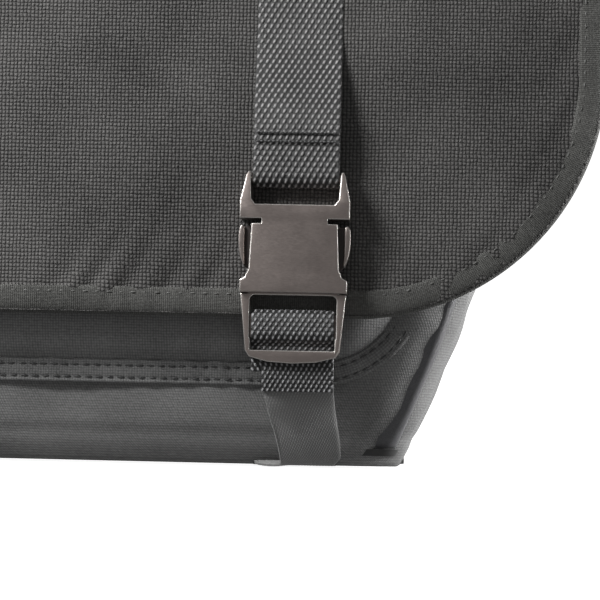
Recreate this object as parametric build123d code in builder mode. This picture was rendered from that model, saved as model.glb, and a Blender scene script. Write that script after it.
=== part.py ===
from build123d import *
from math import cos, radians, sin
import os

# A messenger bag that stands on its base: +X right, -Y front, +Z up, in millimetres.
# The origin is on the floor under the middle of the base.

# ---- driving dimensions ----
FABRIC = 1.6                    # padded body fabric
BASE = 3.4                      # base panel with its padding
CORNER = 7.0                    # sewn corner between front and gusset
BODY_TOP = 262.0
# height, half width and half depth of the body
BODY_SECTIONS = [
    (0, 130, 50), (14, 136.5, 57), (48, 149.5, 60), (110, 167, 60), (190, 181, 51), (232, 185.5, 40.5),
    (268, 186.5, 33.5),
]
CLEAR = 0.1                     # gap between plies that lie on each other

FLAP_HALF = 189.0
FLAP_BOTTOM = 44.0
FLAP_RADIUS = 72.0
FLAP_CLOTH = 1.2
FLAP_LINING = 0.9
BINDING = 7.3                   # width of the bound edges
BINDING_PLY = 0.8
FLAP_HINGE_Y, FLAP_HINGE_Z = 37.0, 263.6
FOLD_Y, FOLD_Z = -38.5, 266.2
# inner face of the flap, from the hinge to the fold and from the fold down
FLAP_TOP_CURVE = [(FLAP_HINGE_Y, FLAP_HINGE_Z), (18, 267.4), (-6, 269.2), (-24, 268.6), (FOLD_Y, FOLD_Z)]
FLAP_FRONT_CURVE = [
    (FOLD_Y, FOLD_Z), (-52, 248), (-61.3, 220), (-67.6, 180), (-71.0, 135), (-71.8, 95), (-71.8, 30),
]

POCKET_HALF = 132.5
POCKET_BOTTOM = 30.0
POCKET_TOP = 162.0
POCKET_RADIUS = 27.0
POCKET_BAND = 6.0
POCKET_FRONT = -69.2
POCKET_CLOTH = 1.2

ZIP_HEIGHT = 172.0
ZIP_HALF = 118.0

STRAP_X = 100.0                 # the two front straps stand this far from the middle
WEBBING = 25.4
WEB_PLY = 1.5

# buckle, heights above the floor
BUCKLE_Y = -79.0                # middle of the buckle's thickness
SEAM = 50.0                     # where the socket's mouth meets the plug
MOUTH_TOP = 54.2
WINDOW_TOP = 70.0
NOTCH_TOP = 71.5
SLOT_BOTTOM = 75.6
EAR_TOP = 85.3
SOCKET_THICK = 8.0
PLATE = 1.5                     # thickness of the socket's front and back walls
MOUTH_HALF = 15.5
PLATE_HALF = 12.4
EAR_HALF = 15.9
SLOT_HALF = 12.75
BAR_Z = 83.4
BAR_RADIUS = 1.35
BAR_Y = -78.0
PLUG_BAR_Z = 40.4
PLUG_THICK = 4.6
ARM_PIVOT_X, ARM_PIVOT_Z = 11.2, 52.6
CROSS_TOP = 52.2

SHOULDER_X = 112.0
SHOULDER_HALF = 19.0
SHOULDER_PLY = 1.6
# middle line of the shoulder strap's doubled run behind the back panel, from its ring down
BACK_CURVE = [(49.5, 228), (57, 200), (64, 160), (66.6, 130), (67, 105), (67, 60)]
FLOOR_BEND = 18.0
ANCHOR_LOW = 186.0
SLIDER_Z = 80.0

os.makedirs("parts", exist_ok=True)


def save(part, name):
    """Label one finished piece and write it."""
    part.label = name
    export_step(part, "parts/" + name + ".step")


# ---- shared forms ----
def body_form(outset):
    """The body's outer form, moved out by outset."""
    with BuildPart() as form:
        for height, half_width, half_depth in BODY_SECTIONS:
            with BuildSketch(Plane.XY.offset(height)):
                RectangleRounded(2 * (half_width + outset), 2 * (half_depth + outset), CORNER + outset)
        loft()
    return form.part


def body_layer(inner, outer):
    """A skin between two offsets of the body's form, open at its base and its top."""
    with BuildPart() as skin:
        add(body_form(outer))
        add(body_form(inner), mode=Mode.SUBTRACT)
    return skin.part


def block(x, y, z):
    """A box given by its lowest and highest x, y and z."""
    with BuildPart() as box:
        with Locations(((x[0] + x[1]) / 2, (y[0] + y[1]) / 2, (z[0] + z[1]) / 2)):
            Box(x[1] - x[0], y[1] - y[0], z[1] - z[0])
    return box.part


def corner_wedge(side):
    """Everything that belongs to the front panel (side -1) or the back panel (side 1)."""
    inset = 28
    with BuildPart() as wedge:
        for height, half_width, half_depth in BODY_SECTIONS:
            with BuildSketch(Plane.XY.offset(height)):
                with BuildLine():
                    Polyline(
                        (half_width + 5, side * (half_depth + 5)),
                        (-half_width - 5, side * (half_depth + 5)),
                        (inset - half_width, side * (half_depth - inset)),
                        (half_width - inset, side * (half_depth - inset)),
                        close=True,
                    )
                make_face()
        loft()
    return wedge.part


def shifted(points, distance):
    """A curve's points, moved square to the curve: outwards on the flap where positive."""
    moved = []
    for i, (y, z) in enumerate(points):
        before, after = points[max(i - 1, 0)], points[min(i + 1, len(points) - 1)]
        run_y, run_z = after[0] - before[0], after[1] - before[1]
        length = (run_y**2 + run_z**2) ** 0.5
        moved.append((y + run_z / length * distance, z - run_y / length * distance))
    return moved


def flap_sheet(curve, near, far, half_width):
    """A sheet that follows a curve of the flap between two offsets."""
    inner, outer = shifted(curve, near), shifted(curve, far)
    with BuildPart() as sheet:
        with BuildSketch(Plane.YZ):
            with BuildLine():
                Spline(*inner)
                Line(inner[-1], outer[-1])
                Spline(*outer)
                Line(outer[0], inner[0])
            make_face()
        extrude(amount=half_width, both=True)
    return sheet.part


def flap_outline(outset):
    """Everything inside the flap's rounded front outline, moved out by outset."""
    half = FLAP_HALF + outset
    low = FLAP_BOTTOM - outset
    with BuildPart() as outline:
        with BuildSketch(Plane.XZ):
            with BuildLine():
                FilletPolyline(
                    (half, 300), (half, low), (-half, low), (-half, 300), radius=FLAP_RADIUS + outset
                )
                Line((-half, 300), (half, 300))
            make_face()
        extrude(amount=150)
    return outline.part


def flap_side_box(outset):
    """Everything between the side edges of the flap's top panel, moved out by outset."""
    return block((-FLAP_HALF - outset, FLAP_HALF + outset), (-60, 60), (240, 290))


def webbing_run(plane, half_width, lines):
    """Webbing whose edge-on outline is drawn by lines() and extruded to both sides of a plane."""
    with BuildPart() as web:
        with BuildSketch(plane):
            with BuildLine():
                lines()
            make_face()
        extrude(amount=half_width, both=True)
    return web.part


# ---- body panels ----
walls = body_layer(-FABRIC, 0)
front_region, back_region = corner_wedge(-1), corner_wedge(1)
with BuildPart() as upper_walls:
    add(walls)
    split(bisect_by=Plane.XY.offset(BASE), keep=Keep.TOP)
    split(bisect_by=Plane.XY.offset(BODY_TOP), keep=Keep.BOTTOM)

for name, region in (("front_panel", front_region), ("back_panel", back_region)):
    with BuildPart() as panel:
        add(upper_walls.part)
        add(region, mode=Mode.INTERSECT)
    save(panel.part, name)

for name, side in (("gusset_left", Keep.BOTTOM), ("gusset_right", Keep.TOP)):
    with BuildPart() as gusset:
        add(upper_walls.part)
        add(front_region, mode=Mode.SUBTRACT)
        add(back_region, mode=Mode.SUBTRACT)
        split(bisect_by=Plane.YZ, keep=side)
    save(gusset.part, name)

# the base is flat on the floor, with a channel for each strap that runs under it
with BuildPart() as base_panel:
    add(body_form(0))
    split(bisect_by=Plane.XY.offset(BASE), keep=Keep.BOTTOM)
    with Locations((-STRAP_X, 0, 0), (STRAP_X, 0, 0)):
        Box(WEBBING + 0.6, 130, 2 * (SHOULDER_PLY + CLEAR), mode=Mode.SUBTRACT)
save(base_panel.part, "base_panel")

STIFFENER = 2.0
with BuildPart() as base_stiffener:
    add(body_form(-FABRIC - 2 * CLEAR))
    split(bisect_by=Plane.XY.offset(BASE + CLEAR), keep=Keep.TOP)
    split(bisect_by=Plane.XY.offset(BASE + CLEAR + STIFFENER), keep=Keep.BOTTOM)
save(base_stiffener.part, "base_stiffener")

LINING_OUT = -FABRIC - 2 * CLEAR
LINING = 0.8
LINING_FLOOR = BASE + STIFFENER + 2 * CLEAR
EDGE_TOP = BODY_TOP - 2.0
with BuildPart() as lining_hollow:
    add(body_form(LINING_OUT - LINING))
    split(bisect_by=Plane.XY.offset(LINING_FLOOR + LINING), keep=Keep.TOP)
with BuildPart() as lining:
    add(body_form(LINING_OUT))
    add(lining_hollow.part, mode=Mode.SUBTRACT)
    split(bisect_by=Plane.XY.offset(LINING_FLOOR), keep=Keep.TOP)
    split(bisect_by=Plane.XY.offset(EDGE_TOP), keep=Keep.BOTTOM)
save(lining.part, "lining")

# the rim binding wraps the raw edges of fabric and lining
RIM_DROP = 11.0
with BuildPart() as rim_core:
    add(body_layer(LINING_OUT - LINING - CLEAR, CLEAR))
    split(bisect_by=Plane.XY.offset(BODY_TOP + 0.1), keep=Keep.BOTTOM)
with BuildPart() as rim_binding:
    add(body_layer(LINING_OUT - LINING - 0.9, 0.9))
    split(bisect_by=Plane.XY.offset(BODY_TOP - RIM_DROP), keep=Keep.TOP)
    split(bisect_by=Plane.XY.offset(BODY_TOP + 0.9), keep=Keep.BOTTOM)
    add(rim_core.part, mode=Mode.SUBTRACT)
save(rim_binding.part, "rim_binding")

# the strip that sews the flap to the back panel
with BuildPart() as flap_seam_strip:
    add(body_layer(0.9 + CLEAR, 2.2))
    add(block((-184, 184), (10, 90), (BODY_TOP - RIM_DROP + 0.2, BODY_TOP + 0.6)), mode=Mode.INTERSECT)
save(flap_seam_strip.part, "flap_seam_strip")

# flat pocket on the lining of the back wall
INNER_POCKET_OUT = LINING_OUT - LINING - CLEAR
with BuildPart() as inner_pocket:
    add(body_layer(INNER_POCKET_OUT - 0.8, INNER_POCKET_OUT))
    add(block((-112, 112), (0, 90), (64, 192)), mode=Mode.INTERSECT)
save(inner_pocket.part, "inner_pocket")
with BuildPart() as inner_pocket_binding:
    add(body_layer(INNER_POCKET_OUT - 1.7, INNER_POCKET_OUT - 0.9))
    add(block((-112, 112), (0, 90), (183, 192)), mode=Mode.INTERSECT)
save(inner_pocket_binding.part, "inner_pocket_binding")


# ---- front pocket ----
def pocket_outline(outset, near, far):
    """The pocket's rounded outline, moved out by outset, between two depths."""
    half = POCKET_HALF + outset
    middle = (POCKET_BOTTOM + POCKET_TOP) / 2
    tall = POCKET_TOP - POCKET_BOTTOM + 2 * outset
    with BuildPart() as prism:
        with BuildSketch(Plane.XZ.offset(near)):
            with Locations((0, middle)):
                RectangleRounded(2 * half, tall, POCKET_RADIUS + outset)
        extrude(amount=far - near)
    return prism.part


with BuildPart() as pocket_band:
    add(body_layer(CLEAR, 1.5))
    add(pocket_outline(POCKET_BAND, 10, 90), mode=Mode.INTERSECT)
    add(pocket_outline(0.1, 5, 95), mode=Mode.SUBTRACT)
    split(bisect_by=Plane.XY.offset(POCKET_TOP - 2), keep=Keep.BOTTOM)
save(pocket_band.part, "pocket_band")


def pocket_puff(inset):
    """The pocket's puffed form, moved inwards by inset, from inside the body to its front."""
    start = 50.0
    middle = (POCKET_BOTTOM + POCKET_TOP) / 2
    tall = POCKET_TOP - POCKET_BOTTOM - 2 * inset
    with BuildPart() as puff:
        with BuildSketch(Plane.XZ.offset(start)):
            with Locations((0, middle)):
                RectangleRounded(2 * (POCKET_HALF - inset), tall, POCKET_RADIUS - inset)
        extrude(amount=-POCKET_FRONT - start - inset, taper=24)
        fillet(puff.faces().sort_by(Axis.Y)[0].edges(), 4 - inset)
    return puff.part


with BuildPart() as front_pocket:
    add(pocket_puff(0))
    add(pocket_puff(POCKET_CLOTH), mode=Mode.SUBTRACT)
    add(body_form(CLEAR), mode=Mode.SUBTRACT)
save(front_pocket.part, "front_pocket")

# ---- pocket zipper, laid on the sloping front panel ----
ZIP_SLOPE = radians(10.5)
ZIP_FACE = -54.78               # the front panel's outer face at the zipper's height
TAPE = 0.8
zip_plane = Plane(
    origin=(0, ZIP_FACE, ZIP_HEIGHT), x_dir=(1, 0, 0), z_dir=(0, -cos(ZIP_SLOPE), sin(ZIP_SLOPE))
)
for name, low, high in (("zipper_tape_lower", -8.5, -0.4), ("zipper_tape_upper", 0.4, 8.5)):
    with BuildPart() as tape:
        add(body_layer(CLEAR, CLEAR + TAPE))
        tape_reach = block((-ZIP_HALF - 8, ZIP_HALF + 8), (-90, 0), (ZIP_HEIGHT + low, ZIP_HEIGHT + high))
        add(tape_reach, mode=Mode.INTERSECT)
    save(tape.part, name)

COIL_BACK, COIL_FRONT, COIL_HALF = 1.15, 2.5, 2.0
with BuildPart() as zipper_coil:
    with BuildSketch(zip_plane.offset(COIL_BACK)):
        Rectangle(2 * ZIP_HALF, 2 * COIL_HALF)
    extrude(amount=COIL_FRONT - COIL_BACK)
    fillet(zipper_coil.edges().filter_by(Axis.X), 0.5)
save(zipper_coil.part, "zipper_coil")

with BuildPart() as zipper_stops:
    with BuildSketch(zip_plane.offset(COIL_BACK)):
        with Locations((-ZIP_HALF - 1.3, 0), (ZIP_HALF + 1.3, 0)):
            Rectangle(2.2, 4.6)
    extrude(amount=1.9)
    fillet(zipper_stops.edges().filter_by(Axis.Z, reverse=True).group_by(Axis.Y)[0], 0.4)
save(zipper_stops.part, "zipper_stops")

SLIDER_X = ZIP_HALF - 6.5       # closed: the slider stands at the right end
SLIDER_LONG, SLIDER_WIDE = 10.0, 7.6
PLATE_BACK, PLATE_FRONT = 2.65, 3.55
BRIDGE_TOP = 6.3
with BuildPart() as zip_slider:
    with BuildSketch(zip_plane.offset(PLATE_BACK)):
        with Locations((SLIDER_X, 0)):
            RectangleRounded(SLIDER_LONG, SLIDER_WIDE, 2)
    extrude(amount=PLATE_FRONT - PLATE_BACK)
    with BuildSketch(zip_plane.offset(COIL_BACK)):
        with Locations((SLIDER_X, 3.1), (SLIDER_X, -3.1)):
            Rectangle(SLIDER_LONG - 3, 1.2)
    extrude(amount=PLATE_BACK - COIL_BACK)
    with BuildSketch(zip_plane.offset(PLATE_FRONT)):
        with Locations((SLIDER_X, 0)):
            Rectangle(7.0, 1.8)
    extrude(amount=BRIDGE_TOP - PLATE_FRONT)
    with BuildSketch(zip_plane.offset(PLATE_FRONT)):
        with Locations((SLIDER_X, 0)):
            Rectangle(4.6, 3)
    extrude(amount=1.7, mode=Mode.SUBTRACT)
save(zip_slider.part, "zip_slider")

PULL_BACK, PULL_FRONT, PULL_LONG = 3.8, 5.0, 18.0
with BuildPart() as zip_pull:
    with BuildSketch(zip_plane.offset(PULL_BACK)):
        with Locations((SLIDER_X - PULL_LONG / 2 + 0.7, 0)):
            RectangleRounded(PULL_LONG, 6.0, 1.6)
        with Locations((SLIDER_X - 3.1, 0)):
            Rectangle(5.8, 2.6, mode=Mode.SUBTRACT)
        with Locations((SLIDER_X - PULL_LONG + 3.4, 0)):
            Circle(1.4, mode=Mode.SUBTRACT)
    extrude(amount=PULL_FRONT - PULL_BACK)
save(zip_pull.part, "zip_pull")

# ---- flap ----
FLAP_THICK = FLAP_LINING + FLAP_CLOTH
LAYERS = (("lining", 0, FLAP_LINING), ("panel", FLAP_LINING + 0.05, FLAP_THICK))
EDGE_GAP = 0.1
for name, near, far in LAYERS:
    with BuildPart() as top_layer:
        add(flap_sheet(FLAP_TOP_CURVE, near, far, FLAP_HALF - EDGE_GAP))
    save(top_layer.part, "flap_top_" + name)
    with BuildPart() as front_layer:
        add(flap_sheet(FLAP_FRONT_CURVE, near, far, FLAP_HALF))
        add(flap_outline(-EDGE_GAP), mode=Mode.INTERSECT)
    save(front_layer.part, "flap_front_" + name)

with BuildPart() as front_core:
    add(flap_sheet(FLAP_FRONT_CURVE, -EDGE_GAP, FLAP_THICK + EDGE_GAP, FLAP_HALF + 6))
    add(flap_outline(0), mode=Mode.INTERSECT)
with BuildPart() as flap_front_binding:
    add(flap_sheet(FLAP_FRONT_CURVE, -BINDING_PLY, FLAP_THICK + BINDING_PLY, FLAP_HALF + 5))
    add(flap_outline(BINDING_PLY), mode=Mode.INTERSECT)
    add(flap_outline(-BINDING), mode=Mode.SUBTRACT)
    add(front_core.part, mode=Mode.SUBTRACT)
    split(bisect_by=Plane.XY.offset(FOLD_Z - 0.8), keep=Keep.BOTTOM)
save(flap_front_binding.part, "flap_front_binding")

with BuildPart() as flap_top_binding:
    add(flap_sheet(FLAP_TOP_CURVE, -BINDING_PLY, FLAP_THICK + BINDING_PLY, FLAP_HALF + BINDING_PLY))
    add(flap_sheet(FLAP_TOP_CURVE, -EDGE_GAP, FLAP_THICK + EDGE_GAP, FLAP_HALF), mode=Mode.SUBTRACT)
    add(flap_side_box(-BINDING), mode=Mode.SUBTRACT)
    split(bisect_by=Plane.XZ.offset(-FOLD_Y - 0.6), keep=Keep.BOTTOM)
save(flap_top_binding.part, "flap_top_binding")

# ---- straps and buckles, one set on each side ----
STRAP_GAP = 0.2


def flap_face_run(outset):
    """The flap's outer face, moved out, from the strap's top to where it leaves for the buckle."""
    return Spline(*shifted(FLAP_FRONT_CURVE, FLAP_THICK + outset)).trim(0.12, 0.6)


strap_near = flap_face_run(STRAP_GAP)
strap_far = flap_face_run(STRAP_GAP + WEB_PLY)
flap_front_y = FLAP_FRONT_CURVE[-1][0] - FLAP_THICK - 1.0


def strap_lines():
    """Edge-on outline of the flap strap: down the flap, round the socket's bar and back up behind."""
    inner = BAR_RADIUS + 0.15
    outer = inner + WEB_PLY
    back = flap_front_y
    add(strap_near)
    add(strap_far)
    Line(strap_near @ 0, strap_far @ 0)
    Spline(
        strap_far @ 1, (BAR_Y - outer - 0.4, 100), (BAR_Y - outer, BAR_Z), tangents=(strap_far % 1, (0, -1)),
    )
    ThreePointArc((BAR_Y - outer, BAR_Z), (BAR_Y, BAR_Z - outer), (BAR_Y + outer, BAR_Z))
    Spline((BAR_Y + outer, BAR_Z), (back - 0.1, 96), (back, 108), tangents=((0, 1), (0, 1)))
    Line((back, 108), (back - WEB_PLY, 108))
    Spline(
        (back - WEB_PLY, 108), (back - 0.1 - WEB_PLY, 96), (BAR_Y + inner, BAR_Z), tangents=((0, -1), (0, -1))
    )
    ThreePointArc((BAR_Y + inner, BAR_Z), (BAR_Y, BAR_Z - inner), (BAR_Y - inner, BAR_Z))
    Spline(
        (BAR_Y - inner, BAR_Z), (BAR_Y - inner - 0.4, 100), strap_near @ 1, tangents=((0, 1), -(strap_near % 1))
    )


def socket(x):
    """The upper half of a side-release buckle, hollow from below, with its strap bar."""
    middle = Plane.XZ.offset(-BUCKLE_Y)
    with BuildPart() as piece:
        with BuildSketch(middle):
            with BuildLine():
                Polyline(
                    (x, SEAM), (x + MOUTH_HALF, SEAM), (x + MOUTH_HALF, MOUTH_TOP - 0.6),
                    (x + PLATE_HALF + 1.6, MOUTH_TOP + 0.3), (x + PLATE_HALF + 0.6, MOUTH_TOP + 2.6),
                    (x + PLATE_HALF, WINDOW_TOP), (x + 9.6, WINDOW_TOP), (x + 9.6, NOTCH_TOP),
                    (x + EAR_HALF, NOTCH_TOP), (x + EAR_HALF, SLOT_BOTTOM + 1), (x + 14.4, EAR_TOP - 1.2),
                    (x + 13.9, EAR_TOP), (x + 13.2, EAR_TOP), (x + SLOT_HALF, SLOT_BOTTOM + 1.6),
                    (x + SLOT_HALF - 1.2, SLOT_BOTTOM), (x, SLOT_BOTTOM),
                )
                Line((x, SLOT_BOTTOM), (x, SEAM))
            make_face()
            mirror(about=Plane((x, BUCKLE_Y, 0), z_dir=(1, 0, 0)))
        extrude(amount=SOCKET_THICK / 2, both=True)
        # the plug's way in, open at the sides between the mouth and the shoulders
        with BuildSketch(middle):
            with Locations((x, (SEAM + WINDOW_TOP) / 2 - 1)):
                Rectangle(2 * MOUTH_HALF - 3.4, WINDOW_TOP - SEAM + 2)
            with Locations((x, (MOUTH_TOP + WINDOW_TOP) / 2 + 0.2)):
                Rectangle(2 * EAR_HALF + 2, WINDOW_TOP - MOUTH_TOP - 0.4)
        extrude(amount=SOCKET_THICK / 2 - PLATE, both=True, mode=Mode.SUBTRACT)
        # thin the ears to a slope that ends at the strap bar
        with BuildSketch(Plane.YZ.offset(x)):
            with BuildLine():
                Polyline(
                    (BUCKLE_Y - SOCKET_THICK / 2 - 1, SLOT_BOTTOM + 1),
                    (BUCKLE_Y - SOCKET_THICK / 2, SLOT_BOTTOM + 1), (BAR_Y - 2.1, EAR_TOP + 0.1),
                    (BUCKLE_Y - SOCKET_THICK / 2 - 1, EAR_TOP + 0.1), close=True,
                )
            make_face()
        extrude(amount=EAR_HALF + 1, both=True, mode=Mode.SUBTRACT)
        fillet(
            piece.edges().filter_by(Axis.X).filter_by(
                lambda e: abs(e.center().Z - SEAM) < 0.1 and e.center().Y < BUCKLE_Y - 3
            ), 0.5,
        )
        with BuildSketch(Plane.YZ.offset(x)):
            with Locations((BAR_Y, BAR_Z)):
                Circle(BAR_RADIUS)
        extrude(amount=SLOT_HALF + 0.9, both=True)
    return piece.part


def plug(x):
    """The lower half of the buckle: a ladder frame for the strap, with a guide tongue."""
    middle = Plane.XZ.offset(-BUCKLE_Y)
    with BuildPart() as piece:
        with BuildSketch(middle):
            with BuildLine():
                Polyline(
                    (x, 29.7), (x + 7, 30.1), (x + 12.4, 31.5), (x + 13.6, 33.3), (x + 15.3, SEAM - 0.3),
                    (x + 12.9, SEAM - 0.3), (x + 12.9, CROSS_TOP), (x + 3.2, CROSS_TOP), (x + 3.2, 66),
                    (x + 2.2, 68),
                    (x, 68),
                )
                Line((x, 68), (x, 29.7))
            make_face()
            mirror(about=Plane((x, BUCKLE_Y, 0), z_dir=(1, 0, 0)))
            # the two strap openings, above and below the centre bar
            with Locations((x, 46.6)):
                RectangleRounded(25.2, 5.6, 1.6, mode=Mode.SUBTRACT)
            with Locations((x, 44.8)):
                Rectangle(25.2, 2.0, mode=Mode.SUBTRACT)
            with Locations((x, 35.3)):
                Rectangle(24.6, 3.8, mode=Mode.SUBTRACT)
        extrude(amount=PLUG_THICK / 2, both=True)
        # the centre bar is thinner than the rails, to leave room for the webbing
        for near, far in ((PLUG_THICK / 2 + 0.1, 1.0), (-PLUG_THICK / 2 - 0.1, -1.0)):
            with BuildSketch(middle.offset(min(near, far))):
                with Locations((x, PLUG_BAR_Z)):
                    Rectangle(25.2, 7.2)
            extrude(amount=abs(near - far), mode=Mode.SUBTRACT)
        # the bottom bar stands forward, so that both plies pass behind it
        with BuildSketch(middle.offset(-PLUG_THICK / 2 - 0.1)):
            with Locations((x, 31)):
                Rectangle(24.6, 6)
        extrude(amount=PLUG_THICK - 1.7, mode=Mode.SUBTRACT)
    return piece.part


def arm(x, side):
    """A spring arm of the plug with the finger pad that fills the socket's side window."""
    with BuildPart() as piece:
        with BuildSketch(Plane.XZ.offset(-BUCKLE_Y)):
            with BuildLine():
                Polyline(
                    (x + side * 10.1, CROSS_TOP + 0.15), (x + side * 12.2, CROSS_TOP + 0.15),
                    (x + side * 12.6, 56.0), (x + side * 14.6, 57.6),
                )
                Spline(
                    (x + side * 14.6, 57.6), (x + side * 16.2, 62.0), (x + side * 16.3, 65.5),
                    (x + side * 15.9, 69.7),
                )
                Polyline(
                    (x + side * 15.9, 69.7), (x + side * 13.2, 69.7), (x + side * 10.6, 68.0),
                    (x + side * 10.1, CROSS_TOP + 0.15),
                )
            make_face()
        extrude(amount=PLUG_THICK / 2 - 0.1, both=True)
    return piece.part


BAR_FRONT, BAR_BACK = BUCKLE_Y - 1.1, BUCKLE_Y + 1.1
LOOP_PLY = 1.4
LOOP_FOOT = 27.2


def plug_loop(x):
    """The webbing round the plug's centre bar, with its short tail in front of the lower strap."""
    front, back = BAR_FRONT - LOOP_PLY, BAR_BACK + LOOP_PLY
    tail = BAR_BACK - 0.1
    with BuildPart() as piece:
        with BuildSketch(Plane.YZ.offset(x)):
            with BuildLine():
                Polyline(
                    (front, 36.3), (front, 43.6), (BAR_FRONT - 0.3, 43.9 + LOOP_PLY),
                    (BAR_BACK + 0.3, 43.9 + LOOP_PLY), (back, 43.6), (back, LOOP_FOOT), (BAR_BACK, LOOP_FOOT),
                    (tail, LOOP_FOOT), (tail + 1.1, 21.6), (tail + 1.1 - LOOP_PLY, 21.6),
                    (tail - LOOP_PLY, LOOP_FOOT + 1.4), (tail - LOOP_PLY, 34.5), close=True,
                )
            make_face()
            with Locations((BUCKLE_Y, 40.45)):
                Rectangle(BAR_BACK - BAR_FRONT, 6.9, mode=Mode.SUBTRACT)
        extrude(amount=WEBBING / 2 - 0.6, both=True)
    return piece.part


def lower_lines():
    """Edge-on outline of the strap from the buckle down to the base."""
    front, back = BAR_BACK + 0.05, BAR_BACK + LOOP_PLY
    top = LOOP_FOOT - 0.1
    Spline((back, top), (-71.0, 15.4), (-60.6, 3.4), (-52.0, SHOULDER_PLY), tangents=((0.2, -1), (1, 0)))
    Line((-52.0, SHOULDER_PLY), (-52.0, 0))
    Spline((-52.0, 0), (-61.7, 2.0), (-72.5, 14.7), (front, top), tangents=((-1, 0), (-0.2, 1)))
    Line((front, top), (back, top))


for word, x in (("left", -STRAP_X), ("right", STRAP_X)):
    save(webbing_run(Plane.YZ.offset(x), WEBBING / 2 - 0.1, strap_lines), "flap_strap_" + word)
    save(socket(x), "buckle_socket_" + word)
    save(plug(x), "buckle_plug_" + word)
    save(arm(x, -1), "buckle_" + word + "_arm_outer" if x < 0 else "buckle_" + word + "_arm_inner")
    save(arm(x, 1), "buckle_" + word + "_arm_inner" if x < 0 else "buckle_" + word + "_arm_outer")
    save(plug_loop(x), "plug_loop_" + word)
    save(webbing_run(Plane.YZ.offset(x), WEBBING / 2 - 0.6, lower_lines), "lower_strap_" + word)
    save(block((x - WEBBING / 2, x + WEBBING / 2), (-51.9, 46), (0, SHOULDER_PLY)), "base_strap_" + word)


# ---- shoulder strap, hanging behind the bag and folded across the floor ----
PLY_NEAR, PLY_FAR = 0.5, 0.5 + SHOULDER_PLY     # each ply's offsets from the middle line
HANG_NEAR = BACK_CURVE[-1][0] + PLY_NEAR
HANG_FAR = BACK_CURVE[-1][0] + PLY_FAR
BEND_Y = HANG_FAR + FLOOR_BEND
BEND_Z = SHOULDER_PLY + FLOOR_BEND
FOLD_BACK = BEND_Y + 2 * SHOULDER_HALF
BAR_HOLE = 2.8
HALF_TURN = 0.7071


def leg_lines(start):
    """Edge-on outline of the strap from the first points in start down to its fold on the floor."""
    near = shifted(start, -PLY_NEAR)
    far = shifted(start, -PLY_FAR)
    Line(near[0], far[0])
    Spline(*far)
    Line((HANG_FAR, far[-1][1]), (HANG_FAR, BEND_Z))
    ThreePointArc(
        (HANG_FAR, BEND_Z), (BEND_Y - FLOOR_BEND * HALF_TURN, BEND_Z - FLOOR_BEND * HALF_TURN),
        (BEND_Y, SHOULDER_PLY),
    )
    Polyline((BEND_Y, SHOULDER_PLY), (BEND_Y + 1, SHOULDER_PLY), (BEND_Y + 1, 0), (BEND_Y, 0))
    ThreePointArc(
        (BEND_Y, 0), (BEND_Y - BEND_Z * HALF_TURN, BEND_Z - BEND_Z * HALF_TURN), (HANG_NEAR, BEND_Z)
    )
    Line((HANG_NEAR, BEND_Z), (HANG_NEAR, near[-1][1]))
    Spline(*reversed(near))


with BuildPart() as shoulder_strap:
    for x in (-SHOULDER_X, SHOULDER_X):
        add(webbing_run(Plane.YZ.offset(x), SHOULDER_HALF, lambda: leg_lines(BACK_CURVE)))
    # the strap turns under itself at each corner and crosses the floor between them
    with BuildSketch(Plane.XY):
        with Locations((0, BEND_Y + SHOULDER_HALF)):
            Rectangle(2 * (SHOULDER_X - SHOULDER_HALF), 2 * SHOULDER_HALF)
    extrude(amount=SHOULDER_PLY)
    for side in (-1, 1):
        inner, outer = side * (SHOULDER_X - SHOULDER_HALF), side * (SHOULDER_X + SHOULDER_HALF)
        with BuildSketch(Plane.XY):
            with BuildLine():
                Polyline((inner, BEND_Y), (outer, BEND_Y), (inner, FOLD_BACK), close=True)
            make_face()
        extrude(amount=2 * SHOULDER_PLY)
    # the left end is sewn round the ring's lower bar
    with BuildSketch(Plane.YZ.offset(-SHOULDER_X)):
        with Locations((BACK_CURVE[0][0], BACK_CURVE[0][1])):
            Circle(BAR_HOLE + SHOULDER_PLY)
    extrude(amount=SHOULDER_HALF, both=True)
    with BuildSketch(Plane.YZ.offset(-SHOULDER_X)):
        with Locations((BACK_CURVE[0][0], BACK_CURVE[0][1])):
            Circle(BAR_HOLE)
    extrude(amount=SHOULDER_HALF, both=True, mode=Mode.SUBTRACT)
save(shoulder_strap.part, "shoulder_strap")


def return_lines():
    """Edge-on outline of the ply that comes back from the ring to the length slider."""
    curve = BACK_CURVE[1:4] + [(67, SLIDER_Z + 8)]
    near, far = shifted(curve, PLY_NEAR), shifted(curve, PLY_FAR)
    Line(near[0], far[0])
    Spline(*far)
    Line(far[-1], near[-1])
    Spline(*reversed(near))


save(webbing_run(Plane.YZ.offset(-SHOULDER_X), SHOULDER_HALF - 0.2, return_lines), "strap_return_ply")


def anchor_lines(end):
    """Edge-on middle line of the webbing sewn on the back panel, folded over and down to end."""
    FilletPolyline((54.0, ANCHOR_LOW), (42.2, 230), (38.9, 249), (45.6, 249), end, radius=(60, 3.0, 3.0))


RING_Y = BACK_CURVE[0][0]
RING_TOP_Y, RING_TOP_Z = RING_Y - 2.2, BACK_CURVE[0][1] + 11.0
for word, x, end in (("left", -SHOULDER_X, (RING_TOP_Y, RING_TOP_Z)), ("right", SHOULDER_X, (51.0, 229))):
    with BuildPart() as anchor:
        with BuildSketch(Plane.YZ.offset(x)):
            with BuildLine():
                anchor_lines(end)
            trace(line_width=SHOULDER_PLY)
            if word == "left":
                with Locations(end):
                    Circle(BAR_HOLE + SHOULDER_PLY)
                    Circle(BAR_HOLE, mode=Mode.SUBTRACT)
        extrude(amount=SHOULDER_HALF - 0.1, both=True)
    save(anchor.part, "strap_anchor_" + word)

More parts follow.
